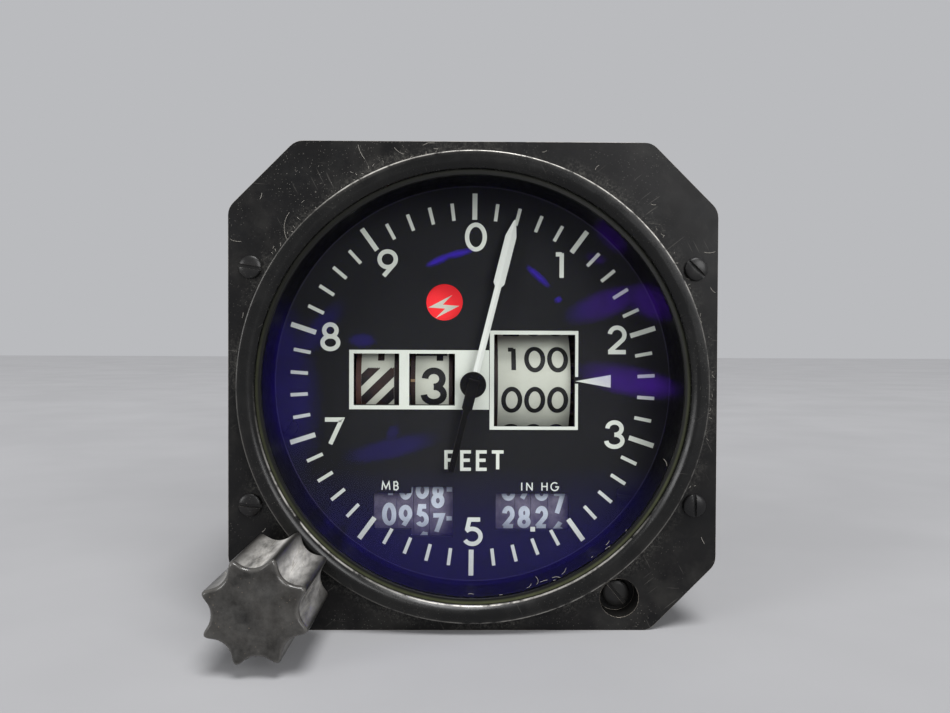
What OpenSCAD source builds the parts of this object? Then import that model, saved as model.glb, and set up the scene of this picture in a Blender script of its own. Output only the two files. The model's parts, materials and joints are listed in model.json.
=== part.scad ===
// Panel altimeter with a pointer, three altitude drums and two pressure counters.
// The origin is the centre of the flange's rear face. X is right, Z is up and Y goes into the panel.

/* [Bezel] */
// Side of the square flange, which the whole instrument follows
flange_w = 82.55; // [57:0.05:105]
// Thickness of the flange
flange_t = 6; // [5.5:0.5:6.5]
// Length of the cut-off flange corners, along a side
flange_chamfer = 11.3; // [10.5:0.1:11.6]
// Radius on the eight flange corners
flange_corner_r = 3; // [1:0.5:4]
// Distance from the flange's side to the raised ring
ring_inset = 2.075; // [1.9:0.025:2.3]
// Height of the raised ring above the flange
ring_h = 3; // [2.6:0.1:3.4]

/* [Window] */
// Thickness of the glass
glass_t = 3; // [2.6:0.1:3.4]
// Depth from the glass to the dial
dial_depth = 7; // [6.5:0.5:8]

/* [Pointer] */
// Rest angle of the pointer, clockwise from zero
pointer_deg = 14.1; // [0:0.1:360]
// Length of the pointer from its centre
pointer_len = 30.1; // [29:0.1:32]
// Width of the broad part of the pointer
pointer_w = 2; // [1.7:0.1:2.3]

/* [Altitude counter] */
// Radius of the altitude drums
drum_r = 12.2; // [11.9:0.1:12.4]

/* [Pressure counters] */
// Radius of the pressure drums
baro_drum_r = 8.5; // [8.2:0.1:8.7]

/* [Knob] */
// Radius over the knob's lobes
knob_r = 8.12; // [7.6:0.02:8.4]
// Length of the knob
knob_len = 16.4; // [12:0.1:17]
// Number of lobes
knob_lobes = 8; // [7:1:9]

/* [Case] */
// Distance from the flange's side back to the case
case_inset = 1.575; // [1.4:0.025:1.7]
// Wall thickness of the case
case_wall = 1.5; // [1.4:0.05:1.55]
// Length of the case behind the flange
case_len = 148; // [142:1:170]

/* [Fits] */
// Radial play of a shaft in its bearing
run_fit = 0.05; // [0.03:0.01:0.08]

/* [Hidden] */
$fn = 96;

// Everything is drawn at the 3-inch size and scaled to the flange
k = flange_w / 82.55;
half = flange_w / (2 * k);

// Planes along Y
y_front = -flange_t;
y_ring = y_front - ring_h;
gasket_t = 0.6;
y_gasket = y_ring + 1.4;
y_glass = y_gasket + gasket_t;
y_spacer = y_glass + glass_t;
y_dial = y_spacer + dial_depth;
dial_t = 1;
y_frame = y_dial + dial_t;
frame_t = 2;
y_back = y_frame + frame_t;
gear_t = 1.5;
plate_t = 1.5;

// Window parts
ring_r = half - ring_inset;
ring_wall = 2.2;
bore_r = ring_r - ring_wall;
glass_play = 0.1;
glass_r = bore_r - glass_play;
spigot_r = bore_r + 1;
ring_lip = 0.7;
ring_open_r = bore_r - ring_lip;
gasket_show = 0.9;
gasket_in_r = ring_open_r - gasket_show;
spacer_front_r = glass_r - 0.7;
spacer_rear_r = glass_r - 1.2;

// Altitude drums and their windows
y_drum = y_frame + 0.8 + drum_r;
axle_r = 1;
hub_r = 3;
win_l = [-21.5, -13.3];
win_m = [-11.5, -3.25];
win_r = [3.85, 18.4];
win_lz = [-3.75, 5.6];
win_rz = [-7.6, 9];
drum_l = [-21.4, -13.4];
drum_m = [-11.4, -3.7];
drum_h = [4, 17.9];
drum_gear_x = [18, 19.5];
arm_left = [-24.2, -22.8];
arm_in = [2, 3.1];
arm_right = [20.2, 21.6];

// Pressure counters
y_baro = y_frame + 0.8 + baro_drum_r;
mb_x = [-18, -13.85, -10.8, -7.9, -3.4];
hg_x = [4, 7.75, 10.65, 13.75, 17.6];
drum_gap = 0.2;
mb_gear_x = [-3.2, -1.7];
hg_gear_x = [17.8, 19.3];
baro_arm_left = [-20.2, -18.8];

// Knob and the cross shaft it turns
knob_inset = 9.875;
knob_at = knob_inset - half;
knob_shaft_r = 1.5;
y_knob_rear = y_ring - 0.7;
y_knob_front = y_knob_rear - knob_len;
knob_lobe_deg = 20;
flute_r = 3.5;
flute_at = knob_r + 1.74;
y_apex_b = y_baro + 5.7;
bevel_b = 3.6;
bevel_b_face = 1.4;
baro_shaft_r = 1.2;
baro_rise = 8.6;
baro_z = knob_at + baro_rise;
baro_mesh = sqrt(pow(y_apex_b - y_baro, 2) + pow(knob_at - baro_z, 2));
hg_drive_n = 20;
hg_drum_n = 16;
mb_drive_n = 11;
mb_drum_n = 26;
hg_m = 2 * baro_mesh / (hg_drive_n + hg_drum_n);
mb_m = 2 * baro_mesh / (mb_drive_n + mb_drum_n);
baro_mesh_deg = atan2(knob_at - baro_z, y_apex_b - y_baro);

// Pointer drive
shaft_r = 1.15;
hub_boss_r = 2.35;
pointer_gear_n = 48;
pinion_n = 12;
spur_m = 0.6;
motor_z = spur_m * (pointer_gear_n + pinion_n) / 2;
y_gear = y_drum + drum_r + 1.3;
y_mid = y_gear + gear_t + 1;
bevel_n = 12;
bevel_a = 4.8;
bevel_a_face = 2;
y_mitre = y_mid + plate_t + 0.7;
y_apex_a = y_mitre + bevel_a;
cross_r = 1.05;
cross_n = 32;
cross_m = (y_apex_a - y_drum) / cross_n;
lug_x = [14, 15.6];
motor_r = 10;
motor_len = 32;
y_rear = y_mid + plate_t + motor_len + 3;
y_rear_back = y_rear + 2;
pillar_at = [[-20, 22], [20, 22], [-25, -21], [25, -21]];
plate_gap = 7.2;
plate_half = half - case_inset - case_wall - plate_gap;
mid_half = plate_half - 2.5;
plate_z = [6.5 - plate_half, plate_half - 5.5];

// Power flag
flag_at = [-5.2, 14.8];
flag_r = 4.25;
flag_arm = 13;
flag_win_r = 3.3;
y_flag = y_back + 0.4;
flag_t = 0.5;

// Sensing unit
capsule_r = plate_half - 8;
bracket_half = capsule_r + 3;
bracket_t = 1.5;
bracket_z = 6;
pickoff_half = 9;
pickoff_z = 5;
free_gap = 1;
y_base = y_rear_back + bracket_t;
stack_len = 27;
y_bar = y_base + stack_len + 11;
board_x = plate_half - 2;
board_t = 1.6;
chip = [8, 14, 2.4];
board_len = 62;

// Case, cover and rear fittings
case_h = half - case_inset;
case_chamfer = 8;
case_in = case_h - case_wall;
cover_t = 2.5;
y_cover = case_len;
y_rear_face = case_len + cover_t;
cover_screw_at = case_in - 5.8;
flange_screw_at = [half - 3.775, 20];
clamp_at = [24.9, 5.5 - half];
screw_slots = [80, 45, 95, 0];
connector_at = [0, 13];
connector_r = 10;
connector_len = 14;
pin_r = 0.5;
pin_circle_r = connector_r - 4.6;
pin_inner_r = 2.2;
connector_sq = 13;
port_at = [17, -18];
port_r = 7.5;
port_len = 12;
port_hole_r = 4.36;

// Shapes used by several parts

module ycyl(r, y0, y1) {
    translate([0, y1, 0]) rotate([90, 0, 0]) cylinder(r = r, h = y1 - y0);
}

module xcyl(r, x0, x1) {
    translate([x0, 0, 0]) rotate([0, 90, 0]) cylinder(r = r, h = x1 - x0);
}

module yext(y0, y1) {
    translate([0, y1, 0]) rotate([90, 0, 0]) linear_extrude(height = y1 - y0) children();
}

module xext(x0, x1) {
    translate([x0, 0, 0]) rotate([90, 0, 90]) linear_extrude(height = x1 - x0) children();
}

module yring(ro, ri, y0, y1) {
    difference() {
        ycyl(ro, y0, y1);
        ycyl(ri, y0 - 1, y1 + 1);
    }
}

module box(x, y, z) {
    translate([x[0], y[0], z[0]]) cube([x[1] - x[0], y[1] - y[0], z[1] - z[0]]);
}

// Outline of a square with cut corners, each of the eight corners rounded
function corner(i, h, c) =
    let (s = [[h, h - c], [h - c, h], [c - h, h], [-h, h - c],
        [-h, c - h], [c - h, -h], [h - c, -h], [h, c - h]])
    s[i];

function octagon(h, c, r, k) = [
    for (i = [0 : 7]) for (j = [0 : k])
        let (a = 45 * i + 22.5, t = 45 * i + 45 * j / k)
        corner(i, h, c) - r / cos(22.5) * [cos(a), sin(a)] + r * [cos(t), sin(t)]
];

module cut_square(h, c) {
    polygon([for (i = [0 : 7]) corner(i, h, c)]);
}

// Gear outline with straight-sided teeth, one tooth centred on the X axis
tooth_share = 0.4;
tooth_add = 0.7;
tooth_ded = 1;

function gear_points(n, m, share) =
    let (r = n * m / 2,
        half = share * PI * m / 2,
        tip = half - tooth_add * m * tan(20),
        root = half + tooth_ded * m * tan(20),
        t = [[r - tooth_ded * m, -root], [r + tooth_add * m, -tip], [r + tooth_add * m, tip],
            [r - tooth_ded * m, root]])
    [for (i = [0 : n - 1]) for (p = t)
        let (a = 360 * i / n)
        [p[0] * cos(a) - p[1] * sin(a), p[0] * sin(a) + p[1] * cos(a)]];

module gear_outline(n, m, turn) {
    rotate([0, 0, turn]) polygon(gear_points(n, m, tooth_share));
}

// Mitre gear along +Z: its large end at z = 0, the cone's point at z = pitch radius
module mitre(r, face, bore, hub, hub_len, turn) {
    difference() {
        union() {
            linear_extrude(height = face, scale = (r - face) / r)
                rotate([0, 0, turn])
                polygon(gear_points(bevel_n, 2 * r / bevel_n, 0.34));
            translate([0, 0, -hub_len]) cylinder(r = hub, h = hub_len + 0.2);
        }
        translate([0, 0, -hub_len - 1]) cylinder(r = bore, h = face + hub_len + 2);
    }
}

// Slotted screw along +Y, its head in front of y = 0
module screw(head_r, head_t, shank_r, shank_len, slot_deg) {
    difference() {
        union() {
            ycyl(head_r, -head_t, 0);
            ycyl(shank_r, -0.1, shank_len);
        }
        rotate([0, slot_deg, 0])
            box([-0.3, 0.3], [-head_t - 1, -head_t * 0.45], [-head_r - 1, head_r + 1]);
    }
}

// Front of the instrument

module bezel_flange() {
    color([0.13, 0.13, 0.14]) scale(k)
    difference() {
        union() {
            yext(y_front, 0) polygon(octagon(half, flange_chamfer, flange_corner_r, 4));
            ycyl(spigot_r, -1, y_frame);
        }
        ycyl(bore_r, y_front - 1, y_frame + 1);
        translate([knob_at, 0, knob_at]) ycyl(3, y_front - 1, 1);
        for (sx = [-1, 1]) for (sz = [-1, 1])
            translate([sx * flange_screw_at[0], 0, sz * flange_screw_at[1]]) ycyl(1.25, y_front - 1, 1);
        translate([clamp_at[0], 0, clamp_at[1]]) {
            ycyl(3.3, y_front - 1, y_front + 3.8);
            ycyl(1.3, y_front - 1, 1);
        }
    }
}

module bezel_ring() {
    r = ring_r;
    e = 0.55;
    color([0.10, 0.10, 0.11]) scale(k)
    rotate([90, 0, 0])
    rotate_extrude()
    difference() {
        union() {
            translate([bore_r, -y_front]) square([r - bore_r, ring_h - e]);
            translate([ring_open_r, -y_gasket]) square([r - e - ring_open_r, y_gasket - y_ring]);
            translate([r - e, -y_ring - e]) circle(r = e);
        }
        translate([0, -y_front - 1]) square([ring_open_r, ring_h + 2]);
    }
}

module glass_gasket() {
    color([0.35, 0.38, 0.22]) scale(k)
    yring(glass_r, gasket_in_r, y_gasket, y_glass);
}

module glass() {
    color([0.75, 0.8, 0.9, 0.3]) scale(k)
    ycyl(glass_r, y_glass, y_spacer);
}

module spacer_ring() {
    color([0.06, 0.06, 0.07]) scale(k)
    rotate([90, 0, 0])
    rotate_extrude()
    polygon([[spacer_front_r, -y_spacer], [glass_r, -y_spacer], [glass_r, -y_dial],
        [spacer_rear_r, -y_dial]]);
}

dial_screw_r = glass_r - 3.2;
dial_screw_at = [for (a = [193.4, 324.4]) dial_screw_r * [cos(a), sin(a)]];

module dial() {
    y = [y_dial - 1, y_frame + 1];
    color([0.08, 0.08, 0.09]) scale(k)
    difference() {
        ycyl(glass_r, y_dial, y_frame);
        box(win_l, y, win_lz);
        box(win_m, y, win_lz);
        box(win_r, y, win_rz);
        box([-17.9, -11], y, [baro_z - 3, baro_z + 3.05]);
        box([-11.1, -3.57], y, [baro_z - 4.4, baro_z + 4.2]);
        box([4.2, 17.4], y, [baro_z - 3.1, baro_z + 3]);
        translate([flag_at[0], 0, flag_at[1]]) ycyl(flag_win_r, y[0], y[1]);
        ycyl(1.6, y[0], y[1]);
        for (p = dial_screw_at)
            translate([p[0], 0, p[1]]) ycyl(0.9, y[0], y[1]);
    }
}

module dial_screws() {
    color([0.09, 0.09, 0.09]) scale(k)
    for (i = [0, 1])
        translate([dial_screw_at[i][0], y_dial, dial_screw_at[i][1]])
            screw(1.35, 0.6, 0.8, dial_t + 2, 30 + 70 * i);
}

// Frame that carries the movement

module drum_arm(x, half) {
    difference() {
        box(x, [y_back - 0.5, y_drum + 4], [-half, half]);
        translate([0, y_drum, 0]) xcyl(axle_r, x[0] - 1, x[1] + 1);
    }
}

module baro_arm(x) {
    difference() {
        xext(x[0], x[1])
            polygon([[y_back - 0.5, baro_z + 4.3], [y_baro + 4, baro_z + 4.3],
                [y_apex_b + 3.6, knob_at + 3.9], [y_apex_b + 3.6, knob_at - 3.4],
                [y_apex_b - 5, knob_at - 3.4], [y_back - 0.5, knob_at + 2.4]]);
        translate([0, y_baro, baro_z]) xcyl(axle_r, x[0] - 1, x[1] + 1);
        translate([0, y_apex_b, knob_at]) xcyl(baro_shaft_r + run_fit, x[0] - 1, x[1] + 1);
    }
}

y_knob_arm = y_apex_b + bevel_b + 3;

module counter_frame() {
    y = [y_frame - 1, y_back + 1];
    color([0.55, 0.56, 0.58]) scale(k) {
        difference() {
            union() {
                difference() {
                    ycyl(spigot_r, y_frame, y_back);
                    box([arm_left[1], -arm_in[1]], y, [-8, 8]);
                    box([arm_in[1], arm_right[0]], y, [-9.6, 10.4]);
                    box([baro_arm_left[1], arm_right[0]], y, [baro_z - 6.4, baro_z + 5.6]);
                    translate([flag_at[0], 0, flag_at[1]]) ycyl(4, y[0], y[1]);
                    for (p = dial_screw_at)
                        translate([p[0], 0, p[1]]) ycyl(0.8, y[0], y[1]);
                    for (p = pillar_at)
                        translate([p[0], 0, p[1]]) ycyl(1.5, y[0], y[1]);
                }
                drum_arm(arm_left, 6);
                drum_arm([-arm_in[1], -arm_in[0]], 3.5);
                drum_arm(arm_in, 3.5);
                drum_arm(arm_right, 6);
                baro_arm(baro_arm_left);
                baro_arm(arm_right);
                box([baro_arm_left[0] - 0.2, baro_arm_left[1]], [y_apex_b + 3, y_knob_arm + 1.5],
                    [knob_at - 2.8, knob_at + 3]);
                box([knob_at - 2.8, baro_arm_left[1]], [y_knob_arm, y_knob_arm + 1.5],
                    [knob_at - 2.8, knob_at + 3]);
            }
            ycyl(shaft_r + run_fit, y[0], y[1]);
            translate([knob_at, 0, knob_at]) ycyl(knob_shaft_r + run_fit, y_knob_arm - 1, y_knob_arm + 3);
        }
    }
}

module mid_plate() {
    color([0.6, 0.61, 0.63]) scale(k)
    difference() {
        union() {
            box([-mid_half, mid_half], [y_mid, y_mid + plate_t], plate_z);
            for (s = [-1, 1])
                box([min(s * lug_x[0], s * lug_x[1]), max(s * lug_x[0], s * lug_x[1])],
                    [y_mid + 0.5, y_apex_a + 3], [-4, 4]);
        }
        box([lug_x[1] + 1, mid_half + 1], [y_mid - 1, y_mid + plate_t + 1], [-12.5, 12.5]);
        ycyl(shaft_r + run_fit, y_mid - 1, y_mid + plate_t + 1);
        translate([0, 0, motor_z]) ycyl(1.6, y_mid - 1, y_mid + plate_t + 1);
        translate([0, y_apex_a, 0]) xcyl(cross_r + run_fit, -20, 20);
        for (p = pillar_at)
            translate([p[0], 0, p[1]]) ycyl(1.5, y_mid - 1, y_mid + plate_t + 1);
    }
}

module rear_plate() {
    color([0.6, 0.61, 0.63]) scale(k)
    difference() {
        box([-plate_half, plate_half], [y_rear, y_rear_back], plate_z);
        for (p = pillar_at)
            translate([p[0], 0, p[1]]) ycyl(1.5, y_rear - 1, y_rear_back + 1);
    }
}

module pillars() {
    color([0.75, 0.68, 0.45]) scale(k)
    for (p = pillar_at)
        translate([p[0], 0, p[1]]) {
            ycyl(1.5, y_frame + 0.2, y_rear_back);
            ycyl(2.3, y_back, y_mid);
            ycyl(2.3, y_mid + plate_t, y_rear);
        }
}

module counter_axles() {
    color([0.8, 0.8, 0.82]) scale(k) {
        translate([0, y_drum, 0]) xcyl(axle_r, arm_left[0], -arm_in[0]);
        translate([0, y_drum, 0]) xcyl(axle_r, arm_in[0], arm_right[1]);
    }
}

module baro_axle() {
    color([0.8, 0.8, 0.82]) scale(k)
    translate([0, y_baro, baro_z]) xcyl(axle_r, baro_arm_left[0], arm_right[1]);
}

module servo_motor() {
    y = y_mid + plate_t;
    color([0.5, 0.5, 0.52]) scale(k)
    translate([0, 0, motor_z])
    difference() {
        union() {
            ycyl(motor_r, y, y + motor_len - 1.5);
            ycyl(motor_r - 1, y, y + motor_len);
        }
        yring(motor_r + 1, motor_r - 0.8, y + 8, y + 9.2);
        ycyl(1 + run_fit, y - 1, y + 10);
    }
}

module flag_coil() {
    at = [flag_at[0], flag_at[1] + flag_arm];
    color([0.5, 0.38, 0.2]) scale(k)
    translate([at[0], 0, at[1]])
    difference() {
        union() {
            ycyl(5, y_back + 2, y_back + 12);
            for (s = [-1, 1])
                translate([s * 3.4, 0, 2.6]) ycyl(0.8, y_back, y_back + 2.2);
        }
        ycyl(0.7 + run_fit, y_back, y_back + 10);
    }
}

module knob_bush() {
    color([0.3, 0.3, 0.3]) scale(k)
    translate([knob_at, 0, knob_at])
    difference() {
        union() {
            ycyl(4.4, y_front - 0.9, y_front);
            ycyl(3, y_front - 0.1, 1.5);
        }
        ycyl(knob_shaft_r + run_fit, y_front - 2, 3);
    }
}

module flange_screws() {
    color([0.2, 0.2, 0.2]) scale(k)
    for (i = [0 : 3]) {
        sx = i % 2 == 0 ? -1 : 1;
        sz = i < 2 ? 1 : -1;
        translate([sx * flange_screw_at[0], y_front, sz * flange_screw_at[1]])
            screw(1.95, 0.8, 1.1, flange_t + 7, screw_slots[i]);
    }
}

module clamp_screw() {
    color([0.3, 0.3, 0.3]) scale(k)
    translate([clamp_at[0], y_front + 3.8, clamp_at[1]])
        screw(2.35, 1.4, 1.1, flange_t + 3, 40);
}

// Case and rear fittings

module case() {
    color([0.12, 0.12, 0.13]) scale(k)
    difference() {
        union() {
            difference() {
                yext(0, y_cover) cut_square(case_h, case_chamfer);
                yext(-1, y_cover + 1) cut_square(case_in, case_chamfer - case_wall * 0.586);
            }
            for (sx = [-1, 1]) for (sz = [-1, 1]) {
                box(sx > 0 ? [case_in - 3, case_in + 0.2] : [-case_in - 0.2, 3 - case_in], [0, 10],
                    [sz * flange_screw_at[1] - 3, sz * flange_screw_at[1] + 3]);
                translate([sx * cover_screw_at, 0, sz * cover_screw_at]) ycyl(3.4, y_cover - 9, y_cover);
            }
            box([clamp_at[0] - 2.4, clamp_at[0] + 2.6], [0, 10], [-case_in - 0.2, 5 - case_in]);
        }
        for (sx = [-1, 1]) for (sz = [-1, 1]) {
            translate([sx * flange_screw_at[0], 0, sz * flange_screw_at[1]]) ycyl(1.1, -1, 8);
            translate([sx * cover_screw_at, 0, sz * cover_screw_at]) ycyl(1.3, y_cover - 8, y_cover + 1);
        }
        translate([clamp_at[0], 0, clamp_at[1]]) ycyl(1.1, -1, 8);
    }
}

module rear_cover() {
    color([0.13, 0.13, 0.14]) scale(k)
    difference() {
        yext(y_cover, y_rear_face) cut_square(case_h, case_chamfer);
        for (sx = [-1, 1]) for (sz = [-1, 1])
            translate([sx * cover_screw_at, 0, sz * cover_screw_at])
                ycyl(1.6, y_cover - 1, y_rear_face + 1);
        translate([connector_at[0], 0, connector_at[1]])
            ycyl(connector_r - 1.4, y_cover - 1, y_rear_face + 1);
        for (sx = [-1, 1]) for (sz = [-1, 1])
            translate([connector_at[0] + sx * 10, 0, connector_at[1] + sz * 10])
                ycyl(0.9, y_cover - 1, y_rear_face + 1);
        translate([port_at[0], 0, port_at[1]]) ycyl(5.5, y_cover - 1, y_rear_face + 1);
    }
}

module rear_cover_screws() {
    color([0.7, 0.7, 0.7]) scale(k)
    for (sx = [-1, 1]) for (sz = [-1, 1])
        translate([sx * cover_screw_at, y_rear_face, sz * cover_screw_at])
            rotate([180, 0, 0]) screw(2.6, 1.6, 1.3, 7, 35 + 40 * sx + 20 * sz);
}

module connector_shell() {
    color([0.5, 0.52, 0.45]) scale(k)
    translate([connector_at[0], 0, connector_at[1]])
    difference() {
        union() {
            box([-connector_sq, connector_sq], [y_rear_face, y_rear_face + 1.6],
                [-connector_sq, connector_sq]);
            ycyl(connector_r, y_rear_face, y_rear_face + connector_len);
            yring(connector_r + 0.6, connector_r - 1, y_rear_face + 3, y_rear_face + 4.4);
            ycyl(connector_r - 1.5, y_cover, y_rear_face + 0.5);
        }
        ycyl(connector_r - 1.6, y_rear_face + 1, y_rear_face + connector_len + 1);
        ycyl(connector_r - 3, y_cover - 1, y_rear_face + 2);
        for (sx = [-1, 1]) for (sz = [-1, 1])
            translate([sx * 10, 0, sz * 10]) ycyl(1.2, y_rear_face - 1, y_rear_face + 3);
    }
}

module connector_insert() {
    color([0.2, 0.3, 0.25]) scale(k)
    translate([connector_at[0], 0, connector_at[1]])
    difference() {
        union() {
            ycyl(connector_r - 1.6, y_rear_face + 1, y_rear_face + 5);
            ycyl(connector_r - 3, y_cover + 0.5, y_rear_face + 2);
        }
        for (i = [0 : 7])
            rotate([0, 45 * i, 0]) translate([pin_circle_r, 0, 0]) ycyl(pin_r, y_cover - 1, y_rear_face + 6);
        for (i = [0 : 2])
            rotate([0, 120 * i, 0]) translate([pin_inner_r, 0, 0]) ycyl(pin_r, y_cover - 1, y_rear_face + 6);
    }
}

module connector_pins() {
    color([0.85, 0.7, 0.3]) scale(k)
    translate([connector_at[0], 0, connector_at[1]]) {
        for (i = [0 : 7])
            rotate([0, 45 * i, 0]) translate([pin_circle_r, 0, 0]) ycyl(pin_r, y_cover - 2, y_rear_face + 8.6);
        for (i = [0 : 2])
            rotate([0, 120 * i, 0]) translate([pin_inner_r, 0, 0]) ycyl(pin_r, y_cover - 2, y_rear_face + 8.6);
    }
}

module connector_screws() {
    color([0.7, 0.7, 0.7]) scale(k)
    for (sx = [-1, 1]) for (sz = [-1, 1])
        translate([connector_at[0] + sx * 10, y_rear_face + 1.6, connector_at[1] + sz * 10])
            rotate([180, 0, 0]) screw(1.8, 1.2, 0.9, 4, 20 + 50 * sx + 15 * sz);
}

module static_port() {
    color([0.7, 0.6, 0.35]) scale(k)
    translate([port_at[0], 0, port_at[1]])
    difference() {
        union() {
            yext(y_rear_face, y_rear_face + 6) circle(r = port_r, $fn = 6);
            ycyl(6.2, y_rear_face, y_rear_face + port_len);
            ycyl(5.4, y_cover - 1.5, y_rear_face + 0.5);
        }
        ycyl(port_hole_r, y_rear_face + 1, y_rear_face + port_len + 1);
        ycyl(1.5, y_cover - 3, y_rear_face + 3);
    }
}

// Sensing unit

module aneroid_capsules() {
    c = capsule_r;
    color([0.78, 0.66, 0.4]) scale(k)
    rotate([-90, 0, 0])
    rotate_extrude()
    polygon([[0, y_base], [4, y_base], [4, y_base + 4], [0.35 * c, y_base + 4], [0.43 * c, y_base + 5],
        [0.61 * c, y_base + 4.4], [0.78 * c, y_base + 5.4], [c, y_base + 7.6], [c, y_base + 8.4],
        [0.78 * c, y_base + 10.6], [0.61 * c, y_base + 11.6], [0.43 * c, y_base + 11], [0.35 * c, y_base + 12],
        [3, y_base + 12], [3, y_base + 14], [0.35 * c, y_base + 14], [0.43 * c, y_base + 15],
        [0.61 * c, y_base + 14.4], [0.78 * c, y_base + 15.4], [c, y_base + 17.6], [c, y_base + 18.4],
        [0.78 * c, y_base + 20.6], [0.61 * c, y_base + 21.6], [0.43 * c, y_base + 21], [0.35 * c, y_base + 22],
        [5, y_base + 22], [5, y_base + stack_len], [0, y_base + stack_len]]);
}

module capsule_bracket() {
    color([0.62, 0.63, 0.65]) scale(k) {
        box([-bracket_half, bracket_half], [y_rear_back, y_base], [-1.5 * bracket_z, 1.5 * bracket_z]);
        for (s = [-1, 1])
            box(s > 0 ? [bracket_half - bracket_t, bracket_half]
                : [-bracket_half, bracket_t - bracket_half],
                [y_rear_back, y_bar + bracket_t], [-bracket_z, bracket_z]);
        box([-bracket_half, bracket_half], [y_bar, y_bar + bracket_t], [-bracket_z, bracket_z]);
    }
}

module pickoff() {
    y = y_base + stack_len + free_gap;
    limb = pickoff_half * 4 / 9;
    mid = (y + y_bar) / 2;
    color([0.35, 0.25, 0.18]) scale(k) {
        box([-pickoff_half, pickoff_half], [mid, y_bar], [-pickoff_z, pickoff_z]);
        for (x = [-pickoff_half, -limb / 2, pickoff_half - limb])
            box([x, x + limb], [y, mid + 0.2], [-pickoff_z, pickoff_z]);
    }
}

module circuit_boards() {
    color([0.15, 0.35, 0.2]) scale(k)
    for (s = [-1, 1]) {
        x1 = board_x + board_t;
        x2 = x1 + chip[2];
        box(s > 0 ? [board_x, x1] : [-x1, -board_x], [y_rear_back, y_rear_back + board_len], plate_z);
        for (i = [0 : 3]) for (j = [0 : 1])
            let (y = y_rear_back + board_len * (0.1 + 0.22 * i), z = plate_z[0] + 6.5 + 22 * j)
            box(s > 0 ? [x1 - 0.1, x2] : [-x2, 0.1 - x1], [y, y + chip[0]], [z, z + chip[1]]);
    }
}

// Pointer and its train

y_pointer = y_dial - 2.2;
blade_t = 0.35;
ridge_t = 0.45;
stem_w = 1.15;
stem_len = 18;
shoulder_len = 0.6;
tip_len = 2.9;
tip_w = 0.36;
tail_len = 16;
tail_t = 0.55;
disc_t = 0.25;

module tail_outline() {
    polygon([[-0.95, 0.95], [-0.95, -4.4], [-0.55, -4.8], [-0.55, -tail_len], [0.55, -tail_len], [0.55, -4.8],
        [0.95, -4.4], [0.95, 0.95]]);
}

module pointer() {
    h = pointer_w / 2;
    s = stem_w / 2;
    t = tip_w / 2;
    broad = stem_len + shoulder_len;
    color([0.9, 0.92, 0.88]) scale(k)
    rotate([0, pointer_deg, 0])
    difference() {
        union() {
            difference() {
                intersection() {
                    yext(y_pointer - 1, y_pointer + 1)
                        polygon([[-s, 0], [-s, stem_len], [-h, broad], [-h, pointer_len - tip_len],
                            [-t, pointer_len], [t, pointer_len], [h, pointer_len - tip_len], [h, broad],
                            [s, stem_len], [s, 0]]);
                    linear_extrude(height = pointer_len + 1)
                        polygon([[-2, y_pointer + blade_t], [2, y_pointer + blade_t], [2, y_pointer],
                            [h, y_pointer], [0, y_pointer - ridge_t], [-h, y_pointer], [-2, y_pointer]]);
                }
                ycyl(hub_boss_r, y_pointer - 2, y_pointer);
            }
            yext(y_pointer, y_pointer + blade_t) tail_outline();
            difference() {
                yext(y_pointer - tail_t, y_pointer + 0.1) tail_outline();
                ycyl(hub_boss_r, y_pointer - disc_t, y_pointer + 1);
            }
            ycyl(1.9, y_pointer, y_pointer + blade_t);
        }
        ycyl(1.6, y_pointer - disc_t, y_pointer + 2);
    }
}

module pointer_hub() {
    color([0.05, 0.05, 0.05]) scale(k)
    difference() {
        union() {
            ycyl(hub_boss_r, y_pointer - disc_t, y_pointer);
            ycyl(1.6, y_pointer - 0.1, y_pointer + 1.2);
        }
        ycyl(shaft_r, y_pointer, y_pointer + 3);
    }
}

module pointer_shaft() {
    color([0.8, 0.8, 0.82]) scale(k)
    ycyl(shaft_r, y_pointer, y_mitre + bevel_a_face);
}

module pointer_gear() {
    color([0.8, 0.66, 0.3]) scale(k)
    difference() {
        union() {
            yext(y_gear, y_gear + gear_t) gear_outline(pointer_gear_n, spur_m, 90);
            ycyl(2.6, y_gear - 0.8, y_gear + 0.2);
        }
        ycyl(shaft_r, y_gear - 2, y_gear + gear_t + 1);
        for (i = [0 : 4])
            rotate([0, 72 * i, 0]) translate([8, 0, 0]) ycyl(3, y_gear - 1, y_gear + gear_t + 1);
    }
}

module pointer_mitre() {
    color([0.8, 0.66, 0.3]) scale(k)
    translate([0, y_mitre, 0]) rotate([-90, 0, 0]) mitre(bevel_a, bevel_a_face, shaft_r, 2.4, 0.4, 0);
}

module motor_pinion() {
    color([0.75, 0.75, 0.77]) scale(k)
    translate([0, 0, motor_z]) {
        yext(y_gear - 0.3, y_gear + gear_t + 0.3) gear_outline(pinion_n, spur_m, 90 + 180 / pinion_n);
        ycyl(1, y_gear, y_mid + plate_t + 9);
    }
}

module cross_shaft() {
    color([0.8, 0.8, 0.82]) scale(k)
    translate([0, y_apex_a, 0]) xcyl(cross_r, -lug_x[1] - 0.4, drum_gear_x[1] + 0.4);
}

module cross_mitre() {
    color([0.8, 0.66, 0.3]) scale(k)
    translate([-bevel_a, y_apex_a, 0]) rotate([0, 90, 0])
        mitre(bevel_a, bevel_a_face, cross_r, 2.4, 2, 180 / bevel_n);
}

module cross_gear() {
    color([0.8, 0.66, 0.3]) scale(k)
    translate([0, y_apex_a, 0])
    difference() {
        union() {
            xext(drum_gear_x[0], drum_gear_x[1]) gear_outline(cross_n, cross_m, 0);
            xcyl(2.6, drum_gear_x[0] - 1.6, drum_gear_x[0] + 0.2);
        }
        xcyl(cross_r, 0, 30);
    }
}

// Altitude drums

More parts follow.
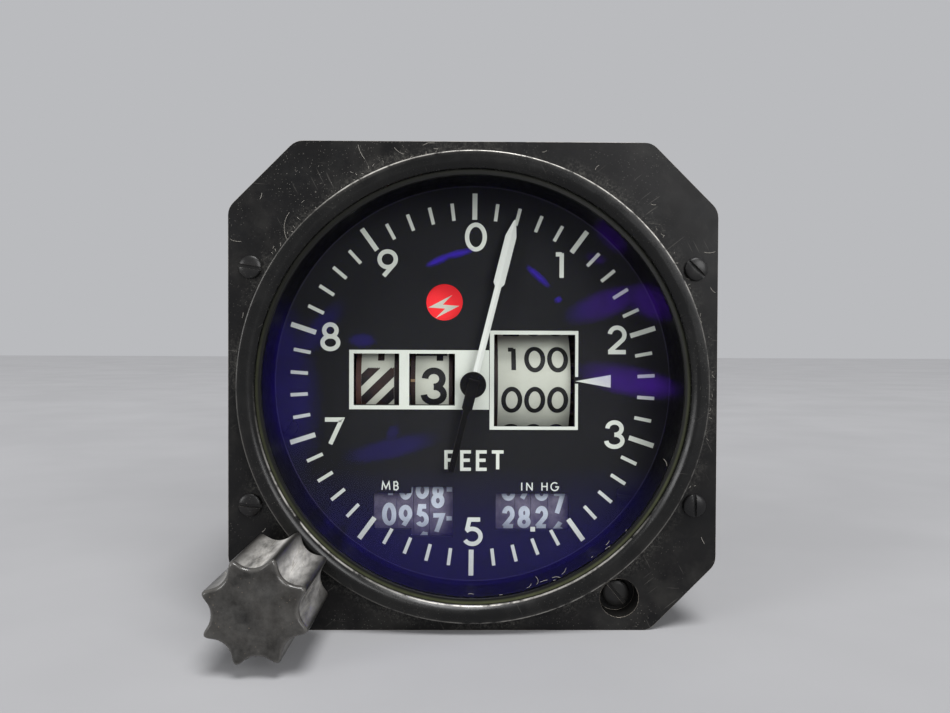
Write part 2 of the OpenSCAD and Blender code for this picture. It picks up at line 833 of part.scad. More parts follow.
module drum_body(x, r, lo, hi) {
    xcyl(r, x[0], x[1]);
    xcyl(hub_r, lo, hi);
}

module hundreds_drum() {
    color([0.75, 0.75, 0.72]) scale(k)
    translate([0, y_drum, 0])
    difference() {
        union() {
            drum_body(drum_h, drum_r, arm_in[1] + 0.2, arm_right[0] - 0.2);
            xext(drum_gear_x[0], drum_gear_x[1]) gear_outline(cross_n, cross_m, 180 / cross_n);
            xcyl(8, drum_h[1] - 0.2, drum_gear_x[0] + 0.2);
        }
        xcyl(axle_r + run_fit, 0, 30);
    }
}

module thousands_drum() {
    color([0.75, 0.75, 0.72]) scale(k)
    translate([0, y_drum, 0])
    difference() {
        drum_body(drum_m, drum_r, (drum_l[1] + drum_m[0]) / 2 + 0.1, -arm_in[1] - 0.2);
        xcyl(axle_r + run_fit, -30, 0);
    }
}

module ten_thousands_drum() {
    color([0.75, 0.75, 0.72]) scale(k)
    translate([0, y_drum, 0])
    difference() {
        drum_body(drum_l, drum_r, arm_left[1] + 0.2, (drum_l[1] + drum_m[0]) / 2 - 0.1);
        xcyl(axle_r + run_fit, -30, 0);
    }
}

module power_flag() {
    at = [flag_at[0], flag_at[1] + flag_arm];
    color([0.8, 0.12, 0.1]) scale(k)
    translate([at[0], 0, at[1]]) {
        yext(y_flag, y_flag + flag_t) translate([0, -flag_arm]) circle(r = flag_r);
        yext(y_flag, y_flag + flag_t) translate([-0.8, -flag_arm + 1]) square([1.6, flag_arm - 1]);
        ycyl(1.6, y_flag, y_flag + 1);
        ycyl(0.7, y_flag, y_back + 9);
    }
}

// Pressure setting

module baro_knob() {
    e = 0.6;
    y = [y_knob_front, y_knob_rear];
    color([0.2, 0.2, 0.21]) scale(k)
    translate([knob_at, 0, knob_at])
    difference() {
        intersection() {
            rotate([90, 0, 0])
            rotate_extrude()
            union() {
                translate([0, -y[1] + e]) square([knob_r, knob_len - 2 * e]);
                translate([0, -y[1]]) square([knob_r - e, knob_len]);
                translate([knob_r - e, -y[1] + e]) circle(r = e);
                translate([knob_r - e, -y[0] - e]) circle(r = e);
            }
            yext(y[0] - 1, y[1] + 1)
            difference() {
                circle(r = knob_r + 1);
                for (i = [0 : knob_lobes - 1])
                    rotate([0, 0, 90 - knob_lobe_deg + 180 / knob_lobes + 360 / knob_lobes * i])
                    translate([flute_at, 0]) circle(r = flute_r);
            }
        }
        ycyl(knob_shaft_r, y[0] + 3, y[1] + 1);
        translate([0, y[1] - 3, 0]) rotate([0, 45, 0]) xcyl(1, 0, knob_r + 1);
    }
}

module knob_set_screw() {
    color([0.35, 0.35, 0.36]) scale(k)
    translate([knob_at, y_knob_rear - 3, knob_at]) rotate([0, 45, 0])
    difference() {
        xcyl(1, knob_shaft_r, 5.4);
        box([4.9, 7], [-0.2, 0.2], [-2, 2]);
    }
}

module knob_shaft() {
    color([0.8, 0.8, 0.82]) scale(k)
    translate([knob_at, 0, knob_at]) {
        ycyl(knob_shaft_r, y_knob_front + 3, y_knob_arm + 1.5);
        ycyl(2.6, 1.8, 2.8);
    }
}

module knob_mitre() {
    color([0.8, 0.66, 0.3]) scale(k)
    translate([knob_at, y_apex_b + bevel_b, knob_at]) rotate([90, 0, 0])
        mitre(bevel_b, bevel_b_face, knob_shaft_r, 2.7, 1.5, 0);
}

module baro_shaft() {
    color([0.8, 0.8, 0.82]) scale(k)
    translate([0, y_apex_b, knob_at]) xcyl(baro_shaft_r, knob_at + bevel_b - bevel_b_face, arm_right[1]);
}

module baro_mitre() {
    color([0.8, 0.66, 0.3]) scale(k)
    translate([knob_at + bevel_b, y_apex_b, knob_at]) rotate([0, -90, 0])
        mitre(bevel_b, bevel_b_face, baro_shaft_r, 2.7, 1.5, 180 / bevel_n);
}

module baro_gears() {
    color([0.8, 0.66, 0.3]) scale(k)
    translate([0, y_apex_b, knob_at])
    difference() {
        union() {
            xext(mb_gear_x[0], mb_gear_x[1]) gear_outline(mb_drive_n, mb_m, baro_mesh_deg + 180);
            xext(hg_gear_x[0], hg_gear_x[1]) gear_outline(hg_drive_n, hg_m, baro_mesh_deg + 180);
        }
        xcyl(baro_shaft_r, -30, 30);
    }
}

module baro_drum(x, i) {
    xcyl(baro_drum_r, x[i] + (i == 0 ? 0 : drum_gap / 2), x[i + 1] - (i == 3 ? 0 : drum_gap / 2));
}

module baro_place() {
    color([0.3, 0.29, 0.36]) scale(k)
    translate([0, y_baro, baro_z])
    difference() {
        union() children();
        xcyl(axle_r + run_fit, -30, 30);
    }
}

module mb_thousands() {
    baro_place() {
        baro_drum(mb_x, 0);
        xcyl(hub_r, baro_arm_left[1] + 0.2, mb_x[0] + 0.5);
    }
}

module mb_hundreds() {
    baro_place() baro_drum(mb_x, 1);
}

module mb_tens() {
    baro_place() baro_drum(mb_x, 2);
}

module mb_units() {
    baro_place() {
        baro_drum(mb_x, 3);
        xcyl(5, mb_x[4] - 0.2, mb_gear_x[0] + 0.2);
        xext(mb_gear_x[0], mb_gear_x[1]) gear_outline(mb_drum_n, mb_m, baro_mesh_deg + 180 / mb_drum_n);
        xcyl(hub_r, mb_gear_x[0], 0.6);
    }
}

module hg_tens() {
    baro_place() {
        baro_drum(hg_x, 0);
        xcyl(hub_r, 0.8, hg_x[0] + 0.5);
    }
}

module hg_units() {
    baro_place() baro_drum(hg_x, 1);
}

module hg_tenths() {
    baro_place() baro_drum(hg_x, 2);
}

module hg_hundredths() {
    baro_place() {
        baro_drum(hg_x, 3);
        xcyl(3.2, hg_x[4] - 0.2, hg_gear_x[0] + 0.2);
        xext(hg_gear_x[0], hg_gear_x[1]) gear_outline(hg_drum_n, hg_m, baro_mesh_deg + 180 / hg_drum_n);
        xcyl(hub_r, hg_gear_x[0], arm_right[0] - 0.2);
    }
}

bezel_flange();
bezel_ring();
glass_gasket();
glass();
spacer_ring();
dial();
dial_screws();
counter_frame();
mid_plate();
rear_plate();
pillars();
counter_axles();
baro_axle();
servo_motor();
flag_coil();
knob_bush();
flange_screws();
clamp_screw();
case();
rear_cover();
rear_cover_screws();
connector_shell();
connector_insert();
connector_pins();
connector_screws();
static_port();
aneroid_capsules();
capsule_bracket();
pickoff();
circuit_boards();
pointer();
pointer_hub();
pointer_shaft();
pointer_gear();
pointer_mitre();
motor_pinion();
cross_shaft();
cross_mitre();
cross_gear();
hundreds_drum();
thousands_drum();
ten_thousands_drum();
power_flag();
baro_knob();
knob_set_screw();
knob_shaft();
knob_mitre();
baro_shaft();
baro_mitre();
baro_gears();
mb_thousands();
mb_hundreds();
mb_tens();
mb_units();
hg_tens();
hg_units();
hg_tenths();
hg_hundredths();
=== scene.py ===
"""Looks of a panel altimeter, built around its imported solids.

Sizes are millimetres in the part's own frame: X right, Y into the panel, Z up. Meshes are in
metres.
"""

import json
import logging
import math
import random
from dataclasses import dataclass, field
from enum import Enum
from functools import reduce
from typing import Sequence

import bmesh
import bpy
import numpy as np
from mathutils import Matrix, Vector


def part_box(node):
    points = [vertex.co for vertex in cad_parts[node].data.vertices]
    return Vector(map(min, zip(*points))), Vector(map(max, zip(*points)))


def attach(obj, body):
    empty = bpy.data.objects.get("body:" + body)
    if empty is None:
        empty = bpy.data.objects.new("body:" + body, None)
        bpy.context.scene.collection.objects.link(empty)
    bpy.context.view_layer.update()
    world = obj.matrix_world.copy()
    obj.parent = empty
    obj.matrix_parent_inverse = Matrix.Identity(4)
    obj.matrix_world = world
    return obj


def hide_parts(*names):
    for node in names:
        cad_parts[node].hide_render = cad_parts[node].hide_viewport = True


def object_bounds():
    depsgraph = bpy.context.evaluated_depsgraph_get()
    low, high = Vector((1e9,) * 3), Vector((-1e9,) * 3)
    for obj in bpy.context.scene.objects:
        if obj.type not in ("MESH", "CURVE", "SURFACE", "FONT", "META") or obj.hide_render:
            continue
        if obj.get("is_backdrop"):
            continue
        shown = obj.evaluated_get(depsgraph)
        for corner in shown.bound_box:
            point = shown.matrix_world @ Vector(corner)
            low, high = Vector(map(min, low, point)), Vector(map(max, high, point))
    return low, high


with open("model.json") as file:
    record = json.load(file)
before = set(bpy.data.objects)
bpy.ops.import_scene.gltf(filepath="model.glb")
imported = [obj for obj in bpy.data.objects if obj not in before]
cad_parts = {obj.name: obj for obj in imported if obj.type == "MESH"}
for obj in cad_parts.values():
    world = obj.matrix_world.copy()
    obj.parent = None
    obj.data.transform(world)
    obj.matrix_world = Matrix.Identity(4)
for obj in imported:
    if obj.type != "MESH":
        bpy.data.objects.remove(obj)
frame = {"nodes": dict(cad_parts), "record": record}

LOG = logging.getLogger("altimeter")
MM = 0.001
ORIGIN = (0.0, 0.0, 0.0)
Point = tuple[float, float]
Triple = tuple[float, float, float]
Colour = tuple[float, float, float]
Path = list[Point]
Strand = list[Triple]
Socket = bpy.types.NodeSocket
Value = Socket | float | Sequence[float]


def linear(colour: Colour) -> tuple[float, float, float, float]:
    """Turn a screen colour into a linear one.

    Args:
        colour: Red, green and blue from 0 to 255.

    Returns:
        Linear red, green, blue and an alpha of 1.
    """
    parts = [c / 255 for c in colour]
    red, green, blue = [p / 12.92 if p <= 0.04045 else ((p + 0.055) / 1.055) ** 2.4 for p in parts]
    return red, green, blue, 1.0


def put_in_scene(name: str, data: bpy.types.ID) -> bpy.types.Object:
    """Make an object and link it to the scene.

    Args:
        name: Name of the object.
        data: Its mesh, light or camera.

    Returns:
        The object.
    """
    made = bpy.data.objects.new(name, data)
    bpy.context.scene.collection.objects.link(made)
    return made


def take_mesh(holder: bpy.types.Object) -> bpy.types.Mesh:
    """Apply an object's modifiers and remove the object.

    Args:
        holder: The object.

    Returns:
        Its finished mesh.
    """
    bpy.context.view_layer.update()
    graph = bpy.context.evaluated_depsgraph_get()
    made = bpy.data.meshes.new_from_object(holder.evaluated_get(graph))
    bpy.data.objects.remove(holder)
    return made


class Nodes:
    """A node tree, with short calls to add nodes and join them."""

    def __init__(self, tree: bpy.types.NodeTree) -> None:
        """Keep the tree."""
        self.tree = tree

    def add(self, kind: str, inputs: dict[str | int, Value] | None = None,
            **settings: object) -> bpy.types.Node:
        """Add a node.

        Args:
            kind: Node type.
            inputs: Output or constant for its inputs, by name or number.
            settings: Properties of the node.

        Returns:
            The node.
        """
        node = self.tree.nodes.new(kind)
        for key, value in settings.items():
            setattr(node, key, value)
        for key, value in (inputs or {}).items():
            self.put(node.inputs[key], value)
        return node

    def put(self, socket: Socket, value: Value) -> None:
        """Link a socket to an output or set its value.

        Args:
            socket: Input socket.
            value: Output socket or constant.
        """
        if isinstance(value, Socket):
            self.tree.links.new(value, socket)
        else:
            socket.default_value = value

    def sum(self, operation: str, *values: Value) -> Socket:
        """Join values by arithmetic.

        Args:
            operation: Name of the operation.
            values: The values in order.

        Returns:
            The result.
        """
        node = self.add("ShaderNodeMath", dict(enumerate(values)), operation=operation)
        return node.outputs["Value"]

    def times(self, first: Value, second: Value) -> Socket:
        """Product of two values."""
        return self.sum("MULTIPLY", first, second)

    def most(self, values: Sequence[Value]) -> Value:
        """Greatest of several values."""
        return reduce(lambda first, second: self.sum("MAXIMUM", first, second), values)

    def vector(self, **parts: Value) -> Socket:
        """A vector from its X, Y and Z, where those left out are 0."""
        return self.add("ShaderNodeCombineXYZ", parts).outputs["Vector"]


class Graph(Nodes):
    """A material's node tree, with the textures that the finishes share."""

    def __init__(self, name: str) -> None:
        """Make the material and keep its shader.

        Args:
            name: Name of the material.
        """
        self.material = bpy.data.materials.new(name)
        self.material.use_nodes = True
        super().__init__(self.material.node_tree)
        self.shader = self.tree.nodes["Principled BSDF"]
        self.place = self.add("ShaderNodeTexCoord").outputs["Object"]

    def set(self, **inputs: Value) -> None:
        """Set the shader's inputs, with underscores for spaces."""
        for key, value in inputs.items():
            self.put(self.shader.inputs[key.replace("_", " ")], value)

    def mapped(self, scale: Triple, turn: Triple = ORIGIN) -> Socket:
        """Object coordinates, turned and then stretched.

        Args:
            scale: Scale on each axis.
            turn: Turn about each axis in degrees.

        Returns:
            The vector output.
        """
        angles = [math.radians(a) for a in turn]
        turned = self.add("ShaderNodeMapping", {"Rotation": angles, "Vector": self.place})
        inputs = {"Scale": scale, "Vector": turned.outputs["Vector"]}
        return self.add("ShaderNodeMapping", inputs).outputs["Vector"]

    def noise(self, scale: float, detail: float = 3, rough: float = 0.55,
              vector: Socket | None = None) -> Socket:
        """Cloudy noise from 0 to 1.

        Args:
            scale: Features per metre, or per unit of a given vector.
            detail: Number of octaves.
            rough: Share of the finer octaves.
            vector: Coordinates other than the object's own.

        Returns:
            The noise output.
        """
        inputs = {"Scale": scale, "Detail": detail, "Roughness": rough,
                  "Vector": vector or self.place}
        return self.add("ShaderNodeTexNoise", inputs).outputs["Fac"]

    def cells(self, scale: float) -> Socket:
        """Distance to scattered points, so many per metre, for specks."""
        node = self.add("ShaderNodeTexVoronoi", {"Scale": scale, "Vector": self.place})
        return node.outputs["Distance"]

    def range(self, value: Value, low: float, high: float, start: float = 0,
              end: float = 1) -> Socket:
        """Map a value from one range to another, clamped.

        Args:
            value: Value to map.
            low: Value that gives start.
            high: Value that gives end.
            start: Result at low.
            end: Result at high.

        Returns:
            The mapped output.
        """
        inputs = {"Value": value, "From Min": low, "From Max": high, "To Min": start, "To Max": end}
        return self.add("ShaderNodeMapRange", inputs).outputs["Result"]

    def mix(self, share: Value, first: Value, second: Value) -> Socket:
        """Blend two colours.

        Args:
            share: Share of the second colour.
            first: First colour.
            second: Second colour.

        Returns:
            The blended colour.
        """
        inputs = {"Factor": share, "A": first, "B": second}
        return self.add("ShaderNodeMix", inputs, data_type="RGBA").outputs["Result"]

    def attribute(self, name: str) -> Socket:
        """Read a number that is stored on the mesh's points."""
        return self.add("ShaderNodeAttribute", attribute_name=name).outputs["Fac"]

    def axis(self, letter: str) -> Socket:
        """One of the object coordinates, in metres."""
        return self.add("ShaderNodeSeparateXYZ", {"Vector": self.place}).outputs[letter]

    def radius(self) -> Socket:
        """Distance from the instrument's own axis, in metres."""
        squares = [self.times(self.axis(letter), self.axis(letter)) for letter in "XZ"]
        return self.sum("SQRT", self.sum("ADD", *squares))

    def spot(self, x: float, z: float, long: float, wide: float, turn: float) -> Socket:
        """Soft oval on the front, 1 in its middle and 0 at its edge.

        Args:
            x: Middle across in millimetres.
            z: Middle up.
            long: Half length.
            wide: Half width.
            turn: Direction of its length in degrees, anticlockwise from the right.

        Returns:
            The value.
        """
        inputs = {"Location": (x * MM, 0, z * MM), "Rotation": (0, math.radians(-turn), 0),
                  "Scale": (long * MM, 1, wide * MM), "Vector": self.place}
        oval = self.add("ShaderNodeMapping", inputs, vector_type="TEXTURE").outputs["Vector"]
        fade = self.add("ShaderNodeTexGradient", {"Vector": oval}, gradient_type="SPHERICAL")
        return fade.outputs["Fac"]

    def bump(self, height: Value, strength: float, depth: float) -> None:
        """Roughen the surface.

        Args:
            height: Height from 0 to 1.
            strength: Strength of the bump.
            depth: Depth in millimetres.
        """
        inputs = {"Strength": strength, "Distance": depth * MM, "Height": height}
        self.set(Normal=self.add("ShaderNodeBump", inputs).outputs["Normal"])


@dataclass(frozen=True)
class PaintFinish:
    """Satin paint with dust, hair scratches, edges worn to metal and painted highlights."""

    name: str
    slot: str
    colour: Colour = (12, 12, 13)
    tint: Colour = (19, 18, 18)
    dust: Colour = (118, 116, 110)
    worn: Colour = (196, 186, 172)
    rough: float = 0.4
    gloss: float = 0.2
    film: float = 0.12
    specks: float = 1.0
    scratches: float = 1.0
    wear: float = 1.0
    uneven: float = 1.0
    rim_dirt: float = 0.0
    speck_colour: Colour = (168, 164, 156)
    scratch_colour: Colour = (150, 146, 140)

    def build(self) -> bpy.types.Material:
        """Make the material.

        Returns:
            The material.
        """
        g = Graph(self.name)
        mottle = g.range(g.noise(160, 4), 0.35, 0.7)
        colour = g.mix(mottle, linear(self.colour), linear(self.tint))
        film = g.times(g.range(g.noise(90, 5, 0.65), 0.5, 0.8), self.film)
        colour = g.mix(film, colour, linear(self.dust))
        patches = g.range(g.noise(70, 3), 0.45, 0.66)
        if self.rim_dirt:
            near_ring = g.range(g.radius(), 0.0424, 0.0395)
            rim = g.times(near_ring, g.range(g.noise(110, 3), 0.38, 0.58))
            patches = g.sum("MAXIMUM", patches, g.times(rim, self.rim_dirt))
            grime = g.times(rim, g.range(g.noise(2400, 4, 0.75), 0.46, 0.68))
            colour = g.mix(g.times(grime, 0.5), colour, linear(self.dust))
        fine = g.times(g.range(g.cells(2300), 0.16, 0.09), patches)
        coarse = g.times(g.range(g.cells(760), 0.062, 0.03), patches)
        speck = g.times(g.sum("MAXIMUM", fine, coarse), 0.75 * self.specks)
        colour = g.mix(speck, colour, linear(self.speck_colour))
        lines = g.times(g.most([
            g.range(g.noise(1, 1, 0.4, g.mapped((4200, 900, 130), (0, turn, 0))), least, 0.81)
            for turn, least in ((28, 0.7674), (-52, 0.7752), (84, 0.7836))]), 0.3 * self.scratches)
        colour = g.mix(lines, colour, linear(self.scratch_colour))
        # Edge value: paint worn to the metal, and on the ring mostly painted highlights.
        rub_and_sheen = g.times(g.attribute("wear"), g.range(g.noise(420, 4, 0.7), 0.36, 0.54))
        rub_and_sheen = g.times(rub_and_sheen, self.wear)
        smooth, dull = self.rough - 0.09 * self.uneven, self.rough + 0.12 * self.uneven
        spread = g.range(g.noise(240, 4), 0.3, 0.75, smooth, dull)
        g.set(Base_Color=g.mix(rub_and_sheen, colour, linear(self.worn)), Metallic=g.times(rub_and_sheen, 0.55))
        g.set(Roughness=g.sum("ADD", spread, g.times(speck, 0.3)), Specular_IOR_Level=self.gloss)
        grain = g.sum("ADD", g.times(g.noise(2600, 2), 0.5), g.times(lines, -0.6))
        g.bump(grain, 0.16, 0.06)
        return g.material


@dataclass(frozen=True)
class PrintFinish:
    """Flat printed or painted surface with faint soiling and, where set, a painted glow."""

    name: str
    slot: str
    colour: Colour
    soil: Colour
    soiling: float = 0.35
    rough: float = 0.55
    scale: float = 220
    gloss: float = 0.3
    grain: float = 0.05
    glow: float = 0.0

    def build(self) -> bpy.types.Material:
        """Make the material.

        Returns:
            The material.
        """
        g = Graph(self.name)
        stain = g.times(g.range(g.noise(self.scale, 4, 0.62), 0.42, 0.75), self.soiling)
        fleck = g.times(g.range(g.cells(self.scale * 8), 0.1, 0.05), self.soiling)
        dirt = g.sum("MAXIMUM", stain, fleck)
        rough = g.range(g.noise(900, 3), 0.3, 0.7, self.rough - 0.06, self.rough + 0.08)
        g.set(Base_Color=g.mix(dirt, linear(self.colour), linear(self.soil)), Roughness=rough)
        g.set(Specular_IOR_Level=self.gloss)
        # Painted glow: emission that lifts the surface above what its lamps give it.
        if self.glow:
            g.set(Emission_Color=linear(self.colour), Emission_Strength=self.glow)
        if self.grain:
            g.bump(g.noise(1400, 2), self.grain, 0.03)
        return g.material


@dataclass(frozen=True)
class SealFinish:
    """Dark rubber seal with a thin olive line by the ring; painted light makes it palest below."""

    name: str = "olive_seal"
    slot: str = "seal"
    colour: Colour = (13, 13, 12)
    olive: Colour = (72, 75, 52)

    def build(self) -> bpy.types.Material:
        """Make the material.

        Returns:
            The material.
        """
        g = Graph(self.name)
        # Painted light: the olive line grows paler towards the bottom, where light falls from
        # above.
        below = g.range(g.axis("Z"), 0.018, -0.03, 0.12, 1)
        line = g.times(g.range(g.radius(), 0.03572, 0.03602), below)
        line = g.times(line, g.range(g.noise(300, 4, 0.65), 0.3, 0.6, 0.55, 1))
        g.set(Base_Color=g.mix(line, linear(self.colour), linear(self.olive)))
        g.set(Roughness=g.range(g.noise(900, 3), 0.3, 0.7, 0.36, 0.5), Specular_IOR_Level=0.25)
        g.bump(g.noise(2200, 2), 0.08, 0.03)
        return g.material


@dataclass(frozen=True)
class MetalFinish:
    """Machined metal with turning marks and tarnish."""

    name: str
    slot: str
    colour: Colour
    tarnish: Colour
    rough: float = 0.3
    grain: Triple = (300, 6000, 6000)

    def build(self) -> bpy.types.Material:
        """Make the material.

        Returns:
            The material.
        """
        g = Graph(self.name)
        stain = g.range(g.noise(180, 5, 0.65), 0.45, 0.75, 0, 0.7)
        marks = g.noise(1, 2, 0.5, g.mapped(self.grain))
        g.set(Base_Color=g.mix(stain, linear(self.colour), linear(self.tarnish)), Metallic=1.0)
        g.set(Roughness=g.range(marks, 0.3, 0.7, self.rough - 0.07, self.rough + 0.14))
        g.bump(marks, 0.12, 0.03)
        return g.material


@dataclass(frozen=True)
class CoatedGlassFinish:
    """Clear glass with painted violet reflections of its coating, low down and in soft patches.

    Each painted glint: middle across and up, half length, half width, turn in degrees and level.
    """

    name: str = "coated_glass"
    slot: str = "window_glass"
    # Colours of the painted violet reflections.
    deep: Colour = (56, 28, 220)
    bright: Colour = (92, 58, 255)
    purple: Colour = (112, 44, 228)
    low_level: float = 0.068
    glint_level: float = 0.13
    clear_level: float = 0.002
    glints: tuple[tuple[float, float, float, float, float, float], ...] = (
        (-5.8, 21.4, 2.7, 0.56, 24, 2.7), (-2.7, 22.5, 3.0, 0.56, 14, 2.7),
        (10.9, 18.7, 3.0, 0.5, -42, 2.4), (14.3, 14.8, 0.65, 0.6, 0, 1.9),
        (22.0, 14.0, 7.4, 2.7, 20, 0.8), (30.1, 14.4, 5.2, 3.0, -28, 0.7),
        (26.2, 1.2, 9.6, 2.9, -12, 0.85), (-31.6, 0.0, 16.5, 6.0, 97, 0.38),
        (-26.2, 9.3, 7.0, 2.2, 51, 0.36), (-18.8, 7.8, 2.5, 1.4, 0, 0.6),
        (-14.0, -10.5, 9.0, 2.1, 13, 0.42), (-13.6, -7.8, 1.7, 1.1, 60, 0.38),
        (23.2, 25.5, 4.2, 1.7, -45, 0.45), (20.7, 21.8, 2.0, 0.8, -20, 0.45))

    def build(self) -> bpy.types.Material:
        """Make the material.

        Returns:
            The material.
        """
        g = Graph(self.name)
        # Painted reflection: violet, stronger towards the bottom.
        low = g.range(g.axis("Z"), -0.0135, -0.027)
        # Painted glints: soft ovals of reflected violet.
        painted_shine = g.most([g.times(g.range(g.spot(*oval), 0, 0.5), level)
                        for *oval, level in self.glints])
        cloud = g.range(g.noise(480, 3, 0.6), 0.3, 0.7, 0.75, 1.2)
        painted_reflection = g.sum("ADD", g.times(low, self.low_level), g.times(painted_shine, self.glint_level))
        blue = g.mix(painted_shine, linear(self.deep), linear(self.bright))
        # Painted reflection: the glints turn purple at the right.
        right = g.times(g.range(g.axis("X"), 0.014, 0.02), g.range(g.axis("Z"), -0.012, -0.004))
        g.set(Base_Color=g.mix(right, blue, linear(self.purple)), Metallic=1.0, Roughness=0.06)
        g.set(Alpha=g.sum("ADD", g.times(painted_reflection, cloud), self.clear_level))
        g.material.surface_render_method = "BLENDED"
        return g.material


@dataclass(frozen=True)
class KnobFinish:
    """Moulded dark plastic, rubbed and dusty, with pale dust in its hollows."""

    name: str = "knob_plastic"
    slot: str = "knob_plastic"
    colour: Colour = (17, 16, 14)
    brown: Colour = (26, 23, 19)
    dust: Colour = (226, 223, 217)
    scuff: Colour = (176, 170, 160)
    fleck: Colour = (150, 132, 112)
    edge: Colour = (150, 147, 142)

    def build(self) -> bpy.types.Material:
        """Make the material.

        Returns:
            The material.
        """
        g = Graph(self.name)
        hollow, wear = g.attribute("hollow"), g.attribute("wear")
        mottle = g.range(g.noise(240, 4), 0.35, 0.7)
        colour = g.mix(mottle, linear(self.colour), linear(self.brown))
        film = g.range(g.noise(380, 6, 0.66, g.mapped((1, 0.25, 1))), 0.28, 0.68)
        film = g.times(film, g.range(hollow, 0, 0.8, 0.015, 1.0))
        colour = g.mix(film, colour, linear(self.dust))
        streak = g.noise(1, 2, 0.5, g.mapped((5200, 260, 5200)))
        rubbed = g.times(g.range(streak, 0.62, 0.74), g.range(hollow, 0, 1, 0.0, 0.55))
        colour = g.mix(rubbed, colour, linear(self.scuff))
        speck = g.range(g.cells(1500), 0.11, 0.06, 0, 0.6)
        speck = g.times(speck, g.range(g.noise(300, 2), 0.45, 0.6))
        colour = g.mix(speck, colour, linear(self.fleck))
        colour = g.mix(g.times(wear, 0.16), colour, linear(self.edge))
        rough = g.sum("ADD", g.range(g.noise(420, 4), 0.3, 0.72, 0.26, 0.4), g.times(hollow, 0.22))
        g.set(Base_Color=colour, Roughness=g.sum("SUBTRACT", rough, g.times(wear, 0.2)))
        g.set(Specular_IOR_Level=0.45)
        g.bump(g.sum("ADD", g.noise(1900, 3), g.times(streak, 0.6)), 0.14, 0.06)
        return g.material


Finish = (PaintFinish | PrintFinish | SealFinish | MetalFinish | CoatedGlassFinish | KnobFinish)


class Slot(Enum):
    """The record's material slots."""

    BLACK_PAINT = "black_paint"
    DIAL_BLACK = "dial_black"
    WINDOW_GLASS = "window_glass"
    SEAL = "seal"
    KNOB_PLASTIC = "knob_plastic"
    WHITE_DRUM = "white_drum"
    VIOLET_DRUM = "violet_drum"
    POINTER_WHITE = "pointer_white"
    FLAG_RED = "flag_red"
    BLACK_SCREW = "black_screw"
    STEEL = "steel"
    BRASS = "brass"
    FRAME_METAL = "frame_metal"
    COIL_BROWN = "coil_brown"
    BOARD_GREEN = "board_green"
    CONNECTOR_METAL = "connector_metal"
    CONNECTOR_RUBBER = "connector_rubber"


FINISHES = {
    Slot.BLACK_PAINT: PaintFinish("black_paint", "black_paint"),
    Slot.DIAL_BLACK: PrintFinish("dial_black", "dial_black", (33, 34, 35), (39, 39, 40),
                                 0.5, 0.6, 60, 0.08, 0.0),
    Slot.WINDOW_GLASS: CoatedGlassFinish(),
    Slot.SEAL: SealFinish(),
    Slot.KNOB_PLASTIC: KnobFinish(),
    Slot.WHITE_DRUM: PrintFinish("drum_body", "white_drum", (30, 24, 24), (64, 42, 36),
                                 0.7, 0.5, 140),
    Slot.VIOLET_DRUM: PrintFinish("violet_drum", "violet_drum", (98, 94, 110), (142, 138, 152),
                                  0.8, 0.5, 420),
    Slot.POINTER_WHITE: PrintFinish("hand_white", "pointer_white", (222, 227, 220),
                                    (196, 198, 190), 0.3, 0.5),
    # The flag's glow is painted light that lifts it out of its recess's shade.
    Slot.FLAG_RED: PrintFinish("flag_red", "flag_red", (255, 50, 56), (246, 40, 48),
                               0.5, 0.45, glow=0.42),
    Slot.BLACK_SCREW: PaintFinish("black_screw", "black_screw", (18, 18, 19), (26, 25, 25),
                                  wear=0.75, specks=0.6, scratches=0.4, rough=0.32, gloss=0.3),
    Slot.STEEL: MetalFinish("steel", "steel", (196, 196, 198), (150, 146, 140)),
    Slot.BRASS: MetalFinish("brass", "brass", (204, 172, 104), (150, 116, 64)),
    Slot.FRAME_METAL: MetalFinish("frame_metal", "frame_metal", (182, 184, 188),
                                  (150, 150, 150), 0.42),
    Slot.COIL_BROWN: PrintFinish("coil_brown", "coil_brown", (112, 62, 34), (70, 38, 22),
                                 0.6, 0.4, 500),
    Slot.BOARD_GREEN: PrintFinish("board_green", "board_green", (34, 82, 52), (60, 104, 66),
                                  0.5, 0.4, 300),
    Slot.CONNECTOR_METAL: MetalFinish("connector_metal", "connector_metal", (150, 150, 142),
                                      (112, 110, 96), 0.38),
    Slot.CONNECTOR_RUBBER: PrintFinish("connector_rubber", "connector_rubber", (104, 52, 40),
                                       (72, 36, 30), 0.5, 0.6),
}
FLANGE_PAINT = PaintFinish("flange_paint", "black_paint", specks=0.62, scratches=0.6, rim_dirt=1.0)
CASE_PAINT = PaintFinish("case_paint", "black_paint", rough=0.46, film=0.05, specks=0.7, uneven=0.3)
# Its worn colour also paints the ring's edge highlights.
RING_PAINT = PaintFinish("ring_paint", "black_paint", (5, 5, 5), (9, 9, 8), worn=(226, 222, 214),
                         specks=0.3, scratches=0.35, rough=0.26, gloss=0.32, film=0.05)
HAND_BLACK = PaintFinish("hand_black", "dial_black", (6, 6, 6), (9, 9, 9), wear=0.12, specks=0.1,
                         scratches=0.1, gloss=0.14, film=0.0)
MARK_WHITE = PrintFinish("mark_white", "pointer_white", (218, 224, 214), (196, 202, 190), 0.3, 0.6)
DRUM_WHITE = PrintFinish("drum_white", "white_drum", (200, 204, 191), (178, 180, 164),
                         0.45, 0.55, 150)
DIGIT_BLACK = PrintFinish("digit_black", "dial_black", (21, 22, 22), (38, 38, 36), 0.4, 0.55)
DIGIT_WORN = PrintFinish("digit_worn", "dial_black", (24, 23, 24), (72, 48, 40), 1.0, 0.55, 130)
DIGIT_BLUE = PrintFinish("digit_blue", "pointer_white", (216, 226, 236), (184, 192, 206),
                         0.6, 0.55, 500)
